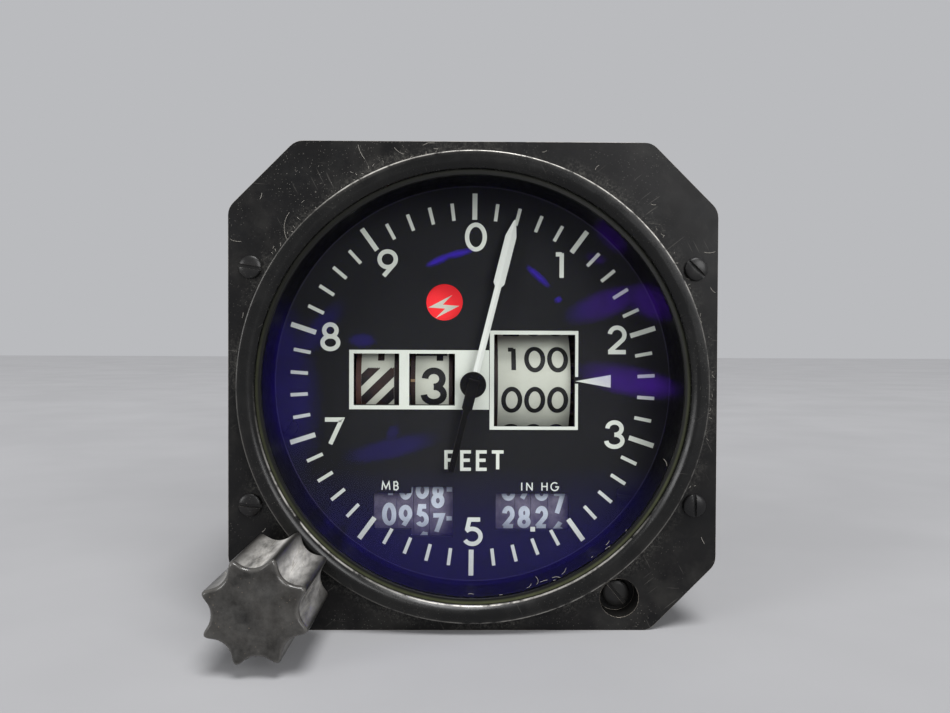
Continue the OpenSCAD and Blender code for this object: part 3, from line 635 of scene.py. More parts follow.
# Painted reflection: a brownish band at the ten-thousands drum's left edge.
DRUM_EDGE_REFLECTION = PrintFinish("drum_edge_reflection", "white_drum", (72, 48, 44), (92, 62, 52), 0.7, 0.5, 300)
DRUM_TAN = PrintFinish("drum_tan", "brass", (142, 118, 90), (110, 88, 64), 0.5, 0.5)
LINT_GREY = PrintFinish("lint_grey", "black_paint", (176, 172, 164), (140, 136, 128), 0.5, 0.8, 900)
# Painted glow lifts the flag's mark out of the recess's shade.
FLAG_PALE = PrintFinish("flag_pale", "pointer_white", (236, 238, 222), (228, 206, 194),
                        0.4, 0.5, glow=0.16)
SPACER_BLACK = PrintFinish("spacer_black", "dial_black", (15, 15, 17), (22, 22, 24),
                           0.5, 0.5, 160, 0.1)
# Painted highlight on the dial's edge where it meets the wall.
EDGE_HIGHLIGHT = PrintFinish("edge_highlight", "dial_black", (54, 52, 72), (38, 36, 52), 0.6, 0.4, 500)


class Palette:
    """The finishes, each built once."""

    def __init__(self) -> None:
        """Start with nothing built."""
        self.made: dict[str, bpy.types.Material] = {}

    def get(self, finish: Finish) -> bpy.types.Material:
        """Build a finish, or give the one that is there.

        Args:
            finish: The finish.

        Returns:
            Its material.
        """
        if finish.name not in self.made:
            self.made[finish.name] = finish.build()
        return self.made[finish.name]


class Workshop:
    """Makes pieces, puts a finish on them and sets them on their bodies."""

    SOLID_MERGE = 2e-6
    FLAT_WITHIN = 0.6
    SHARP_FROM = 32
    POINT_MERGE = 1e-7

    def __init__(self, palette: Palette) -> None:
        """Keep the palette.

        Args:
            palette: The finishes.
        """
        self.palette = palette
        self.replaced: set[str] = set()

    def mesh(self, name: str, points: Sequence[Triple], faces: Sequence[Sequence[int]],
             edges: Sequence[Sequence[int]] = ()) -> bpy.types.Mesh:
        """Make a mesh from millimetres.

        Args:
            name: Name of the mesh.
            points: Points in millimetres.
            faces: Point numbers of each face.
            edges: Point numbers of each edge that has no face.

        Returns:
            The mesh, in metres.
        """
        mesh = bpy.data.meshes.new(name)
        mesh.from_pydata([[c * MM for c in p] for p in points], edges, faces)
        mesh.update()
        return mesh

    def piece(self, name: str, mesh: bpy.types.Mesh, body: str, finish: Finish,
              stands_for: Sequence[str] = (), smooth: float = 0) -> None:
        """Turn a mesh into a finished piece.

        Args:
            name: Name of the piece.
            mesh: Its mesh, with its place in it.
            body: The body that it rides on.
            finish: Its finish.
            stands_for: Solids that it replaces.
            smooth: Angle in degrees below which edges are smooth, or 0 to leave them as they are.
        """
        piece = put_in_scene(name, mesh)
        if not mesh.materials:
            mesh.materials.append(self.palette.get(finish))
        if smooth:
            mesh.shade_smooth()
            mesh.set_sharp_from_angle(angle=math.radians(smooth))
        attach(piece, body)
        if stands_for:
            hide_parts(*stands_for)
            self.replaced.update(stands_for)
        LOG.info("%s on %s, %d faces", name, body, len(mesh.polygons))

    def solid_copy(self, node: str) -> bpy.types.Mesh:
        """Copy a solid's mesh, joined and with its flat faces whole.

        Args:
            node: Name of the solid.

        Returns:
            The copy.
        """
        mesh = frame["nodes"][node].data.copy()
        mesh.materials.clear()
        work = bmesh.new()
        work.from_mesh(mesh)
        bmesh.ops.remove_doubles(work, verts=work.verts, dist=self.SOLID_MERGE)
        bmesh.ops.dissolve_limit(work, angle_limit=math.radians(self.FLAT_WITHIN),
                                 verts=work.verts, edges=work.edges)
        work.to_mesh(mesh)
        work.free()
        return mesh

    def evaluated(self, mesh: bpy.types.Mesh,
                  *setup: tuple[str, dict[str, object]]) -> bpy.types.Mesh:
        """Apply modifiers to a mesh.

        Args:
            mesh: The mesh.
            setup: Modifier type and settings, in order.

        Returns:
            The finished mesh.
        """
        holder = put_in_scene("holder", mesh)
        for kind, settings in setup:
            modifier = holder.modifiers.new(kind.lower(), kind)
            for key, value in settings.items():
                setattr(modifier, key, value)
        return take_mesh(holder)

    def soften(self, mesh: bpy.types.Mesh, width: float, finish: Finish,
               segments: int = 3) -> bpy.types.Mesh:
        """Round a mesh's sharp edges and mark them for worn paint and painted sheen.

        Args:
            mesh: The mesh.
            width: Width of the rounding in millimetres.
            finish: Finish of the piece.
            segments: Faces across the rounding.

        Returns:
            The rounded mesh, with an edge value for worn paint and painted sheen on its points.
        """
        material = self.palette.get(finish)
        mesh.materials.append(material)
        mesh.materials.append(material)
        bevel = {"width": width * MM, "segments": segments, "limit_method": "ANGLE", "material": 1,
                 "angle_limit": math.radians(self.SHARP_FROM), "miter_outer": "MITER_ARC"}
        mesh.shade_smooth()
        made = self.evaluated(mesh, ("BEVEL", bevel),
                              ("WEIGHTED_NORMAL", {"weight": 100, "keep_sharp": True}))
        edge = np.zeros(len(made.vertices))
        flat = np.zeros(len(made.vertices), bool)
        for polygon in made.polygons:
            rounding = polygon.material_index == 1
            for corner in polygon.vertices:
                edge[corner] = 1
                flat[corner] = flat[corner] or not rounding
            polygon.material_index = 0
        edge[flat] = 0
        made.materials.pop(index=1)
        self.store(made, "wear", edge)
        return made

    def store(self, mesh: bpy.types.Mesh, name: str, values: Sequence[float]) -> None:
        """Keep a number on each of a mesh's points."""
        attribute = mesh.attributes.new(name, "FLOAT", "POINT")
        attribute.data.foreach_set("value", np.asarray(values, np.float32))

    def rounded_solid(self, name: str, node: str, body: str, finish: Finish, width: float) -> None:
        """Replace a solid by a copy with rounded edges.

        Args:
            name: Name of the piece.
            node: The solid.
            body: The body that it rides on.
            finish: Its finish.
            width: Width of the rounding in millimetres.
        """
        mesh = self.soften(self.solid_copy(node), width, finish)
        self.piece(name, mesh, body, finish, (node,))

    def turned(self, name: str, profile: Sequence[Point], around: str, centre: Triple = ORIGIN,
               steps: int = 192) -> bpy.types.Mesh:
        """Turn a closed profile about an axis.

        Args:
            name: Name of the mesh.
            profile: Radius and place along the axis, as a closed loop.
            around: Axis letter, X or Y.
            centre: A point on the axis.
            steps: Faces around.

        Returns:
            The mesh.
        """
        points, faces = [], []
        count = len(profile)
        x, y, z = centre
        for i in range(steps):
            a = 2 * math.pi * i / steps
            j = (i + 1) % steps
            for n, (radius, along) in enumerate(profile):
                if around == "Y":
                    points.append((x + radius * math.sin(a), along, z + radius * math.cos(a)))
                else:
                    points.append((along, y - radius * math.cos(a), z + radius * math.sin(a)))
                m = (n + 1) % count
                faces.append((i * count + n, i * count + m, j * count + m, j * count + n))
        mesh = self.mesh(name, points, faces)
        self.outward(mesh)
        return mesh

    def outward(self, mesh: bpy.types.Mesh) -> None:
        """Turn all faces of a closed mesh outwards.

        Args:
            mesh: The mesh.
        """
        work = bmesh.new()
        work.from_mesh(mesh)
        bmesh.ops.remove_doubles(work, verts=work.verts, dist=self.POINT_MERGE)
        bmesh.ops.recalc_face_normals(work, faces=work.faces)
        work.to_mesh(mesh)
        work.free()


def rounded(corners: Sequence[Point], radii: Sequence[float], steps: int = 6) -> Path:
    """Round the corners of a closed outline.

    Args:
        corners: Corner points in order.
        radii: Distance from each corner at which its rounding starts.
        steps: Faces at each corner.

    Returns:
        The rounded outline.
    """
    outline: Path = []
    count = len(corners)
    for i, (corner, radius) in enumerate(zip(corners, radii)):
        if radius <= 0:
            outline.append(corner)
            continue
        before, after = Vector(corners[i - 1]), Vector(corners[(i + 1) % count])
        here = Vector(corner)
        start = here + (before - here).normalized() * radius
        end = here + (after - here).normalized() * radius
        for s in range(steps + 1):
            t = s / steps
            p = start * (1 - t) ** 2 + here * 2 * t * (1 - t) + end * t ** 2
            outline.append((p.x, p.y))
    return outline


def arc(x: float, z: float, across: float, up: float, start: float, end: float, steps: int) -> Path:
    """Points on part of an ellipse.

    Args:
        x: Centre across.
        z: Centre up.
        across: Half width.
        up: Half height.
        start: First angle in degrees, anticlockwise from the right.
        end: Last angle.
        steps: Number of lines.

    Returns:
        The points.
    """
    angles = [math.radians(start + (end - start) * i / steps) for i in range(steps + 1)]
    return [(x + across * math.cos(a), z + up * math.sin(a)) for a in angles]


class Lettering:
    """A plain geometric alphabet of centre lines, one unit high."""

    STROKES: dict[str, list[Path]] = {
        "0": [arc(0, 0.5, 0.36, 0.5, 90, 450, 48)],
        "1": [[(0.08, 0), (0.08, 1)], [(-0.16, 0.955), (0.08, 0.955)]],
        "2": [arc(0, 0.7, 0.3, 0.3, 172, -38, 24) + [(-0.32, 0)], [(-0.36, 0), (0.36, 0)]],
        "3": [arc(0, 0.745, 0.29, 0.255, 178, -90, 24), arc(0, 0.25, 0.33, 0.25, 90, -178, 24)],
        "4": [[(0.2, 1), (-0.42, 0.27), (0.44, 0.27)], [(0.2, 1), (0.2, 0)]],
        "5": [[(0.3, 1), (-0.14, 1), (-0.24, 0.55)], arc(-0.02, 0.31, 0.34, 0.31, 138, -150, 30)],
        "6": [arc(0, 0.32, 0.33, 0.32, 90, 450, 40), [(0.16, 1), (-0.27, 0.5)]],
        "7": [[(-0.34, 1), (0.34, 1), (-0.12, 0)]],
        "8": [arc(0, 0.755, 0.25, 0.245, 90, 450, 36), arc(0, 0.26, 0.32, 0.26, 90, 450, 40)],
        "9": [arc(0, 0.68, 0.33, 0.32, 90, 450, 40), [(-0.16, 0), (0.27, 0.5)]],
        "F": [[(-0.24, 0), (-0.24, 1), (0.24, 1)], [(-0.24, 0.53), (0.19, 0.53)]],
        "E": [[(0.26, 1), (-0.24, 1), (-0.24, 0), (0.26, 0)], [(-0.24, 0.52), (0.2, 0.52)]],
        "T": [[(-0.32, 1), (0.32, 1)], [(0, 1), (0, 0)]],
        "M": [[(-0.5, 0), (-0.38, 1), (0, 0.18), (0.38, 1), (0.5, 0)]],
        "B": [[(-0.24, 0), (-0.24, 1), (0.02, 1)] + arc(0.02, 0.76, 0.21, 0.24, 90, -90, 14)
              + [(-0.24, 0.52)],
              [(-0.24, 0), (0.04, 0)] + arc(0.04, 0.26, 0.24, 0.26, -90, 90, 14) + [(-0.24, 0.52)]],
        "I": [[(0, 0), (0, 1)]],
        "N": [[(-0.34, 0), (-0.34, 1)], [(-0.34, 0.97), (0.34, 0.03)], [(0.34, 0), (0.34, 1)]],
        "H": [[(-0.32, 0), (-0.32, 1)], [(0.32, 0), (0.32, 1)], [(-0.32, 0.52), (0.32, 0.52)]],
        "G": [arc(0, 0.5, 0.47, 0.5, 48, 352, 36) + [(0.47, 0.47), (0.08, 0.47)]],
    }

    @classmethod
    def paths(cls, sign: str, x: float, z: float, height: float, stroke: float,
              wide: float) -> list[Path]:
        """Centre lines of one sign.

        Args:
            sign: Digit or letter.
            x: Middle of the sign across.
            z: Middle of the sign up.
            height: Height over the strokes.
            stroke: Width of a stroke.
            wide: Stretch across.

        Returns:
            Its lines, in millimetres.
        """
        size = height - stroke
        return [[(x + px * size * wide, z + (pz - 0.5) * size) for px, pz in line]
                for line in cls.STROKES[sign]]


@dataclass
class Ribbons:
    """Flat strokes that are laid on a plane or wrapped round a drum."""

    thick: float = 0.03
    laid: int = 0
    step: float = 0.35
    sharpest: float = 0.35
    meets: float = 1e-6
    sunk: float = 0.01
    level_step: float = 0.004
    levels: int = 7
    points: list[Triple] = field(default_factory=list)
    faces: list[tuple[int, ...]] = field(default_factory=list)

    def stroke(self, line: Path, width: float) -> None:
        """Add one stroke.

        Args:
            line: Its centre line.
            width: Its width.
        """
        fine: Path = [line[0]]
        for a, b in zip(line, line[1:]):
            parts = max(1, math.ceil(math.dist(a, b) / self.step))
            fine += [(a[0] + (b[0] - a[0]) * i / parts, a[1] + (b[1] - a[1]) * i / parts)
                     for i in range(1, parts + 1)]
        closed = math.dist(fine[0], fine[-1]) < self.meets
        if closed:
            fine.pop()
        count = len(fine)
        left: Path = []
        right: Path = []
        for i, here in enumerate(fine):
            before = fine[i - 1] if closed or i else None
            after = fine[(i + 1) % count] if closed or i < count - 1 else None
            into = Vector(here) - Vector(before) if before else Vector(after) - Vector(here)
            out = Vector(after) - Vector(here) if after else into
            into, out = into.normalized(), out.normalized()
            mean = (into + out).normalized()
            side = Vector((-mean.y, mean.x))
            reach = width / 2 / max(self.sharpest, side.dot(Vector((-into.y, into.x))))
            left.append((here[0] + side.x * reach, here[1] + side.y * reach))
            right.append((here[0] - side.x * reach, here[1] - side.y * reach))
        self.strip(left, right, self.level(), closed)

    def strip(self, left: Path, right: Path, top: float, closed: bool = False) -> None:
        """Add a flat strip between two edges.

        Args:
            left: Points of one edge.
            right: Points of the other edge.
            top: Height of the strip.
            closed: Whether its end meets its start.
        """
        base, count = len(self.points), len(left)
        for one, other in zip(left, right):
            self.points += [(*one, 0.0), (*other, 0.0), (*one, top), (*other, top)]
        for i in range(count if closed else count - 1):
            a, b = base + 4 * i, base + 4 * ((i + 1) % count)
            self.faces += [(a, b, b + 1, a + 1), (a + 2, a + 3, b + 3, b + 2),
                           (a, a + 2, b + 2, b), (a + 1, b + 1, b + 3, a + 3)]
        if not closed:
            a, b = base, base + 4 * (count - 1)
            self.faces += [(a, a + 1, a + 3, a + 2), (b, b + 2, b + 3, b + 1)]

    def level(self) -> float:
        """Height of the next stroke, so that no two that cross lie in one plane."""
        self.laid += 1
        return self.thick + self.level_step * (self.laid % self.levels)

    def rectangle(self, left: float, right: float, low: float, high: float) -> None:
        """Add an upright rectangle."""
        middle = (left + right) / 2
        self.stroke([(middle, low), (middle, high)], right - left)

    def polygon(self, outline: Path) -> None:
        """Add a flat polygon.

        Args:
            outline: Its corners.
        """
        base, count = len(self.points), len(outline)
        self.points += [(*p, 0.0) for p in outline] + [(*p, self.thick) for p in outline]
        self.faces += [tuple(base + i for i in range(count)),
                       tuple(base + count + i for i in reversed(range(count)))]
        for i in range(count):
            j = (i + 1) % count
            self.faces.append((base + i, base + count + i, base + count + j, base + j))

    def write(self, text: str, x: float, z: float, height: float, stroke: float,
              pitch: float = 0, wide: float = 1) -> None:
        """Add a row of signs.

        Args:
            text: The signs.
            x: Middle of the row across.
            z: Middle of the row up.
            height: Height of a sign.
            stroke: Width of a stroke.
            pitch: Distance between signs.
            wide: Stretch across.
        """
        start = x - pitch * (len(text) - 1) / 2
        for i, sign in enumerate(text):
            for line in Lettering.paths(sign, start + i * pitch, z, height, stroke, wide):
                self.stroke(line, stroke)

    def on_plane(self, shop: Workshop, name: str, front: float) -> bpy.types.Mesh:
        """Lay the strokes on a plane that faces the front.

        Args:
            shop: The workshop.
            name: Name of the mesh.
            front: Place of the plane along Y.

        Returns:
            The mesh.
        """
        points = [(x, front + self.sunk - t, z) for x, z, t in self.points]
        mesh = shop.mesh(name, points, self.faces)
        shop.outward(mesh)
        return mesh

    def on_drum(self, shop: Workshop, name: str, radius: float, y: float,
                z: float) -> bpy.types.Mesh:
        """Wrap the strokes round a drum that lies along X.

        Args:
            shop: The workshop.
            name: Name of the mesh.
            radius: Radius of the drum.
            y: Its axis along Y.
            z: Its axis up.

        Returns:
            The mesh.
        """
        points = []
        for x, along, t in self.points:
            a = along / radius
            reach = radius - self.sunk + t
            points.append((x, y - reach * math.cos(a), z + reach * math.sin(a)))
        mesh = shop.mesh(name, points, self.faces)
        shop.outward(mesh)
        return mesh


class NodeTree(Nodes):
    """A Geometry Nodes tree with named inputs."""

    def __init__(self, name: str, **inputs: tuple[str, object]) -> None:
        """Make the tree.

        Args:
            name: Name of the tree.
            inputs: Socket type and default value of each input, by name.
        """
        super().__init__(bpy.data.node_groups.new(name, "GeometryNodeTree"))
        face = self.tree.interface
        for way in ("INPUT", "OUTPUT"):
            face.new_socket("Geometry", in_out=way, socket_type="NodeSocketGeometry")
        self.keys: dict[str, str] = {}
        for key, (kind, value) in inputs.items():
            socket = face.new_socket(key, in_out="INPUT", socket_type=kind)
            if value is not None:
                socket.default_value = value
            self.keys[key] = socket.identifier
        self.source = self.add("NodeGroupInput")
        self.target = self.add("NodeGroupOutput")

    def given(self, key: str) -> Socket:
        """One of the tree's own inputs."""
        return self.source.outputs[key]

    def many(self, points: Socket, form: Socket, **inputs: Value) -> Socket:
        """Set a form on points.

        Args:
            points: The points.
            form: The form.
            inputs: Selection and rotation, by name.

        Returns:
            The instances.
        """
        inputs = {"Points": points, "Instance": form, **inputs}
        return self.add("GeometryNodeInstanceOnPoints", inputs).outputs["Instances"]

    def end(self, geometry: Socket) -> None:
        """Close the tree with real geometry and its material.

        Args:
            geometry: The geometry to give out.
        """
        real = self.add("GeometryNodeRealizeInstances", {"Geometry": geometry})
        inputs = {"Geometry": real.outputs["Geometry"], "Material": self.given("Material")}
        dress = self.add("GeometryNodeSetMaterial", inputs)
        self.put(self.target.inputs["Geometry"], dress.outputs["Geometry"])

    def run(self, start: bpy.types.ID, **values: object) -> bpy.types.Mesh:
        """Evaluate the tree.

        Args:
            start: Mesh that the tree begins with.
            values: Inputs by name.

        Returns:
            The result as a plain mesh.
        """
        holder = put_in_scene("holder", start)
        modifier = holder.modifiers.new("nodes", "NODES")
        modifier.node_group = self.tree
        for key, value in values.items():
            modifier[self.keys[key]] = value
        return take_mesh(holder)


@dataclass
class Bezel:
    """Square flange, raised ring, glass seat and their screws.

    A screw's place is across, up and the turn of its slot in degrees. A stretch of painted
    highlight over worn paint on the ring's edge is its middle and spread in degrees and its level.
    """

    ring_r: float = 39.2
    ring_front: float = -9.0
    bore_r: float = 37.0
    opening_r: float = 36.3
    step_back: float = 1.4
    flat_from: float = 0.8
    edge: float = 0.3
    lip: float = 1.15
    outer_reach: float = 0.24
    inner_reach: float = 0.26
    least_rub: float = 0.1
    rub_gain: float = 1.4
    # Outer edge: painted highlight, brightest along the top, over some worn paint.
    rubbed: tuple[Triple, ...] = ((117, 8, 1.3), (88, 30, 0.5), (46, 20, 0.75), (-70, 28, 0.22))
    # Inner lip: painted highlight arcs along the lower left and the bottom.
    polished: tuple[Triple, ...] = ((-140, 20, 1.0), (-84, 24, 0.9), (-52, 12, 0.5))
    screw_r: float = 1.95
    screw_at: tuple[Triple, ...] = ((-37.5, 20, 10), (37.5, 20, 45), (-37.5, -20, 5),
                                    (37.5, -20, 90))
    clamp_r: float = 2.35
    clamp_at: tuple[Triple, ...] = ((24.9, -35.775, 50),)
    dome: float = 0.5
    head_deep: float = 0.85
    shank_r: float = 0.75
    shank_deep: float = 3.5
    slot_half: float = 0.29
    slot_deep: float = 0.55
    saw_reach: float = 3.0

    def build(self, shop: Workshop) -> None:
        """Make the pieces.

        Args:
            shop: The workshop.
        """
        shop.rounded_solid("flange_body", "bezel_flange", "housing", FLANGE_PAINT, 0.35)
        self.ring(shop)
        for node, slot in (("glass_gasket", Slot.SEAL), ("glass", Slot.WINDOW_GLASS)):
            shop.rounded_solid(node + "_body", node, "housing", FINISHES[slot], 0.12)
        shop.rounded_solid("spacer_wall", "spacer_ring", "housing", SPACER_BLACK, 0.08)
        self.screws(shop)

    def ring(self, shop: Workshop) -> None:
        """Turn the raised ring, whose front edges carry painted highlights over lightly worn paint.

        Args:
            shop: The workshop.
        """
        _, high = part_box("bezel_ring")
        rear, front, lip = high.y / MM, self.ring_front, self.lip
        loop = [(self.ring_r, front), (self.ring_r, rear), (self.bore_r, rear),
                (self.bore_r, front + self.step_back), (self.opening_r, front + self.step_back),
                (self.opening_r, front + lip * 0.75),
                (self.opening_r + lip * 0.5, front + lip * 0.25),
                (self.opening_r + lip, front), (self.ring_r - self.flat_from, front)]
        profile = rounded(loop, [self.edge, 0.1, 0.1, 0, 0, 0.2, 0.4, 0.4, 0])
        mesh = shop.turned("ring_body", profile, "Y", steps=256)
        outer_edge = (self.ring_r - 0.08, front + 0.08)
        inner_edge = (self.opening_r + 0.1, front + 0.76)
        wear = []
        for v in mesh.vertices:
            spot = (math.hypot(v.co.x, v.co.z) / MM, v.co.y / MM)
            angle = math.degrees(math.atan2(v.co.z, v.co.x))
            # Painted highlights on the outer edge and inner lip, stored with the worn paint as the
            # edge value.
            lit_and_rubbed_share, painted_shine = (sum(level * math.exp(-((angle - at) / spread) ** 2)
                                 for at, spread, level in lobes)
                             for lobes in (self.rubbed, self.polished))
            outer = max(0.0, 1 - math.dist(spot, outer_edge) / self.outer_reach)
            inner = max(0.0, 1 - math.dist(spot, inner_edge) / self.inner_reach)
            rub_and_sheen = outer * (self.least_rub + lit_and_rubbed_share) * self.rub_gain
            wear.append(min(1.0, rub_and_sheen + inner * painted_shine))
        shop.store(mesh, "wear", wear)
        shop.piece("ring_body", mesh, "housing", RING_PAINT, ("bezel_ring",), 40)

    def screws(self, shop: Workshop) -> None:
        """Set domed, slotted heads on the flange and in the clamp's recess.

        Args:
            shop: The workshop.
        """
        tree = NodeTree("screw_heads", Head=("NodeSocketObject", None),
                        Material=("NodeSocketMaterial", None))
        head = tree.add("GeometryNodeObjectInfo", {"Object": tree.given("Head")})
        slot = tree.add("GeometryNodeInputNamedAttribute", data_type="FLOAT")
        slot.inputs["Name"].default_value = "slot"
        turn = tree.vector(Y=slot.outputs["Attribute"])
        tree.end(tree.many(tree.given("Geometry"), head.outputs["Geometry"], Rotation=turn))
        finish = FINISHES[Slot.BLACK_SCREW]
        for node, size, spots in (("flange_screws", self.screw_r, self.screw_at),
                                  ("clamp_screw", self.clamp_r, self.clamp_at)):
            low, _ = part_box(node)
            points = shop.mesh(node, [(x, low.y / MM, z) for x, z, _ in spots], [])
            shop.store(points, "slot", [math.radians(a) for _, _, a in spots])
            form = put_in_scene("head", self.head(shop, size, finish))
            mesh = tree.run(points, Head=form, Material=shop.palette.get(finish))
            bpy.data.objects.remove(form)
            shop.piece(node + "_heads", mesh, "housing", finish, (node,))

    def head(self, shop: Workshop, size: float, finish: Finish) -> bpy.types.Mesh:
        """Turn a domed head with a saw slot, its top at the origin.

        Args:
            shop: The workshop.
            size: Radius of the head.
            finish: Finish of the screw.

        Returns:
            The mesh.
        """
        angles = [math.radians(a) for a in range(0, 90, 9)]
        profile = [(size * math.sin(a), self.dome - self.dome * math.cos(a)) for a in angles]
        profile += [(size, self.dome), (size, self.head_deep), (self.shank_r, self.head_deep),
                    (self.shank_r, self.shank_deep), (0.0, self.shank_deep)]
        mesh = shop.turned("head", profile, "Y", steps=64)
        half, reach = self.slot_half, self.saw_reach
        saw = shop.mesh("saw", [(x, y, z) for x in (-reach, reach) for y in (-1, self.slot_deep)
                                for z in (-half, half)],
                        [(0, 1, 3, 2), (4, 6, 7, 5), (0, 4, 5, 1), (2, 3, 7, 6), (0, 2, 6, 4),
                         (1, 5, 7, 3)])
        shop.outward(saw)
        cutter = put_in_scene("saw", saw)
        cut = shop.evaluated(mesh, ("BOOLEAN", {"object": cutter, "operation": "DIFFERENCE",
                                                "solver": "EXACT"}))
        bpy.data.objects.remove(cutter)
        return shop.soften(cut, 0.06, finish, 2)


@dataclass
class DialFace:
    """Printed marks, numbers, words and frames on the dial.

    A lowered edge is its left and right end, its height in the solid and its height here.
    """

    y: float = 3.0
    tick_in: float = 29.8
    minor_out: float = 32.9
    major_out: float = 34.5
    minor_w: float = 0.62
    major_w: float = 0.88
    tick_thick: float = 0.03
    turn: float = 0.4
    drop: float = -0.17
    digit_h: float = 5.2
    digit_w: float = 0.78
    unit_h: float = 1.65
    unit_w: float = 0.22
    rim_r: Point = (35.5, 35.62)
    end_slack: float = 0.15
    edge_slack: float = 0.02
    lowered: tuple[tuple[float, float, float, float], ...] = (
        (4.2, 17.4, -25.9, -26.35), (-17.9, -11.0, -25.8, -26.3), (-11.1, -3.57, -27.2, -27.6))

    def build(self, shop: Workshop) -> None:
        """Make the pieces.

        Args:
            shop: The workshop.
        """
        for make in (self.plate, self.ticks, self.words, self.frames, self.rim):
            make(shop)

    def plate(self, shop: Workshop) -> None:
        """Copy the dial, with the lower edges of its pressure windows filed down.

        Args:
            shop: The workshop.
        """
        mesh = shop.solid_copy("dial")
        for vertex in mesh.vertices:
            x, z = vertex.co.x / MM, vertex.co.z / MM
            for left, right, old, new in self.lowered:
                between = left - self.end_slack < x < right + self.end_slack
                if between and abs(z - old) < self.edge_slack:
                    vertex.co.z = new * MM
        shop.piece("dial_plate", mesh, "housing", FINISHES[Slot.DIAL_BLACK], ("dial",))

    def ticks(self, shop: Workshop) -> None:
        """Fifty marks round the dial, every fifth longer and broader.

        Args:
            shop: The workshop.
        """
        lengths = {key: ("NodeSocketFloat", 0.0) for key in (
            "Inner", "Minor_Length", "Minor_Width", "Major_Length", "Major_Width", "Turn", "Front")}
        tree = NodeTree("dial_marks", Count=("NodeSocketInt", 50), Every=("NodeSocketInt", 5),
                        **lengths, Material=("NodeSocketMaterial", None))
        line = tree.add("GeometryNodeMeshLine", {"Count": tree.given("Count")})
        number = tree.add("GeometryNodeInputIndex").outputs["Index"]
        step = tree.sum("DIVIDE", 2 * math.pi, tree.given("Count"))
        angle = tree.sum("MULTIPLY_ADD", number, step, tree.given("Turn"))
        rest = tree.sum("MODULO", number, tree.given("Every"))
        major = tree.add("FunctionNodeCompare", {"A": rest, "B": 0.5}, data_type="FLOAT",
                         operation="LESS_THAN").outputs["Result"]
        minor = tree.add("FunctionNodeBooleanMath", {0: major}, operation="NOT").outputs["Boolean"]
        joined = tree.add("GeometryNodeJoinGeometry")
        for kind, chosen in (("Major", major), ("Minor", minor)):
            long, wide = tree.given(kind + "_Length"), tree.given(kind + "_Width")
            middle = tree.sum("MULTIPLY_ADD", long, 0.5, tree.given("Inner"))
            spot = tree.vector(X=tree.times(tree.sum("SINE", angle), middle),
                               Y=tree.given("Front"),
                               Z=tree.times(tree.sum("COSINE", angle), middle))
            placed = tree.add("GeometryNodeSetPosition", {"Geometry": line.outputs["Mesh"],
                                                          "Position": spot})
            size = tree.vector(X=wide, Y=self.tick_thick * MM, Z=long)
            bar = tree.add("GeometryNodeMeshCube", {"Size": size})
            marks = tree.many(placed.outputs["Geometry"], bar.outputs["Mesh"], Selection=chosen,
                              Rotation=tree.vector(Y=angle))
            tree.put(joined.inputs["Geometry"], marks)
        tree.end(joined.outputs["Geometry"])
        mesh = tree.run(bpy.data.meshes.new("dial_marks"), Inner=self.tick_in * MM,
                        Minor_Length=(self.minor_out - self.tick_in) * MM,
                        Minor_Width=self.minor_w * MM,
                        Major_Length=(self.major_out - self.tick_in) * MM,
                        Major_Width=self.major_w * MM, Turn=math.radians(self.turn),
                        Front=(self.y - 0.005) * MM, Material=shop.palette.get(MARK_WHITE))
        mesh.transform(Matrix.Translation((0, 0, self.drop * MM)))
        shop.piece("dial_marks", mesh, "housing", MARK_WHITE)

    def words(self, shop: Workshop) -> None:
        """Numbers round the dial, the unit words and the inch counter's point.

        Args:
            shop: The workshop.
        """
        ink = Ribbons()
        places = {"0": (0.43, 26.53), "1": (15.56, 21.48), "2": (26.01, 8.12), "3": (25.65, -9.03),
                  "5": (0.07, -26.71), "7": (-25.16, -8.66), "8": (-25.7, 8.48),
                  "9": (-15.43, 21.66)}
        for sign, (x, z) in places.items():
            ink.write(sign, x, z, self.digit_h, self.digit_w)
        ink.write("FEET", 0.25, -13.8, 3.75, 0.6, 2.85, 1.05)
        for word, x, z, pitch in (("MB", -14.75, -18.4, 1.8), ("IN", 9.6, -18.5, 1.4),
                                  ("HG", 13.95, -18.5, 1.85)):
            ink.write(word, x, z, self.unit_h, self.unit_w, pitch)
        ink.rectangle(10.5, 11.35, -26.65, -25.8)
        shop.piece("dial_print", ink.on_plane(shop, "dial_print", self.y), "housing", MARK_WHITE)

    def frames(self, shop: Workshop) -> None:
        """White frames round the drum windows and the index at the right.

        Args:
            shop: The workshop.
        """
        ink = Ribbons(thick=0.06)
        bars = ((-22.3, -21.5, -4.57, 6.15), (-13.3, -11.5, -4.57, 6.15),
                (-22.3, -3.25, 5.5, 6.15), (-22.3, -3.25, -4.57, -3.85),
                (-3.25, 2.92, -4.58, 6.15),
                (3.02, 3.8, -8.2, 9.7), (18.45, 19.0, -8.2, 0.15), (18.45, 19.0, 1.4, 9.7),
                (3.02, 19.0, 9.0, 9.7), (3.02, 19.0, -8.2, -7.6))
        for bar in bars:
            ink.rectangle(*bar)
        ink.polygon([(18.5, 0.62), (24.9, -0.53), (24.9, 1.77)])
        mesh = ink.on_plane(shop, "window_frames", self.y)
        shop.piece("window_frames", mesh, "housing", MARK_WHITE)

    def rim(self, shop: Workshop) -> None:
        """Painted highlight: a thin light line where the dial meets the wall around it.

        Args:
            shop: The workshop.
        """
        inner, outer = self.rim_r
        front, back = self.y - 0.03, self.y + 0.02
        profile = [(outer, front), (outer, back), (inner, back), (inner, front)]
        mesh = shop.turned("dial_edge_line", profile, "Y")
        shop.piece("dial_edge_line", mesh, "housing", EDGE_HIGHLIGHT, (), 30)


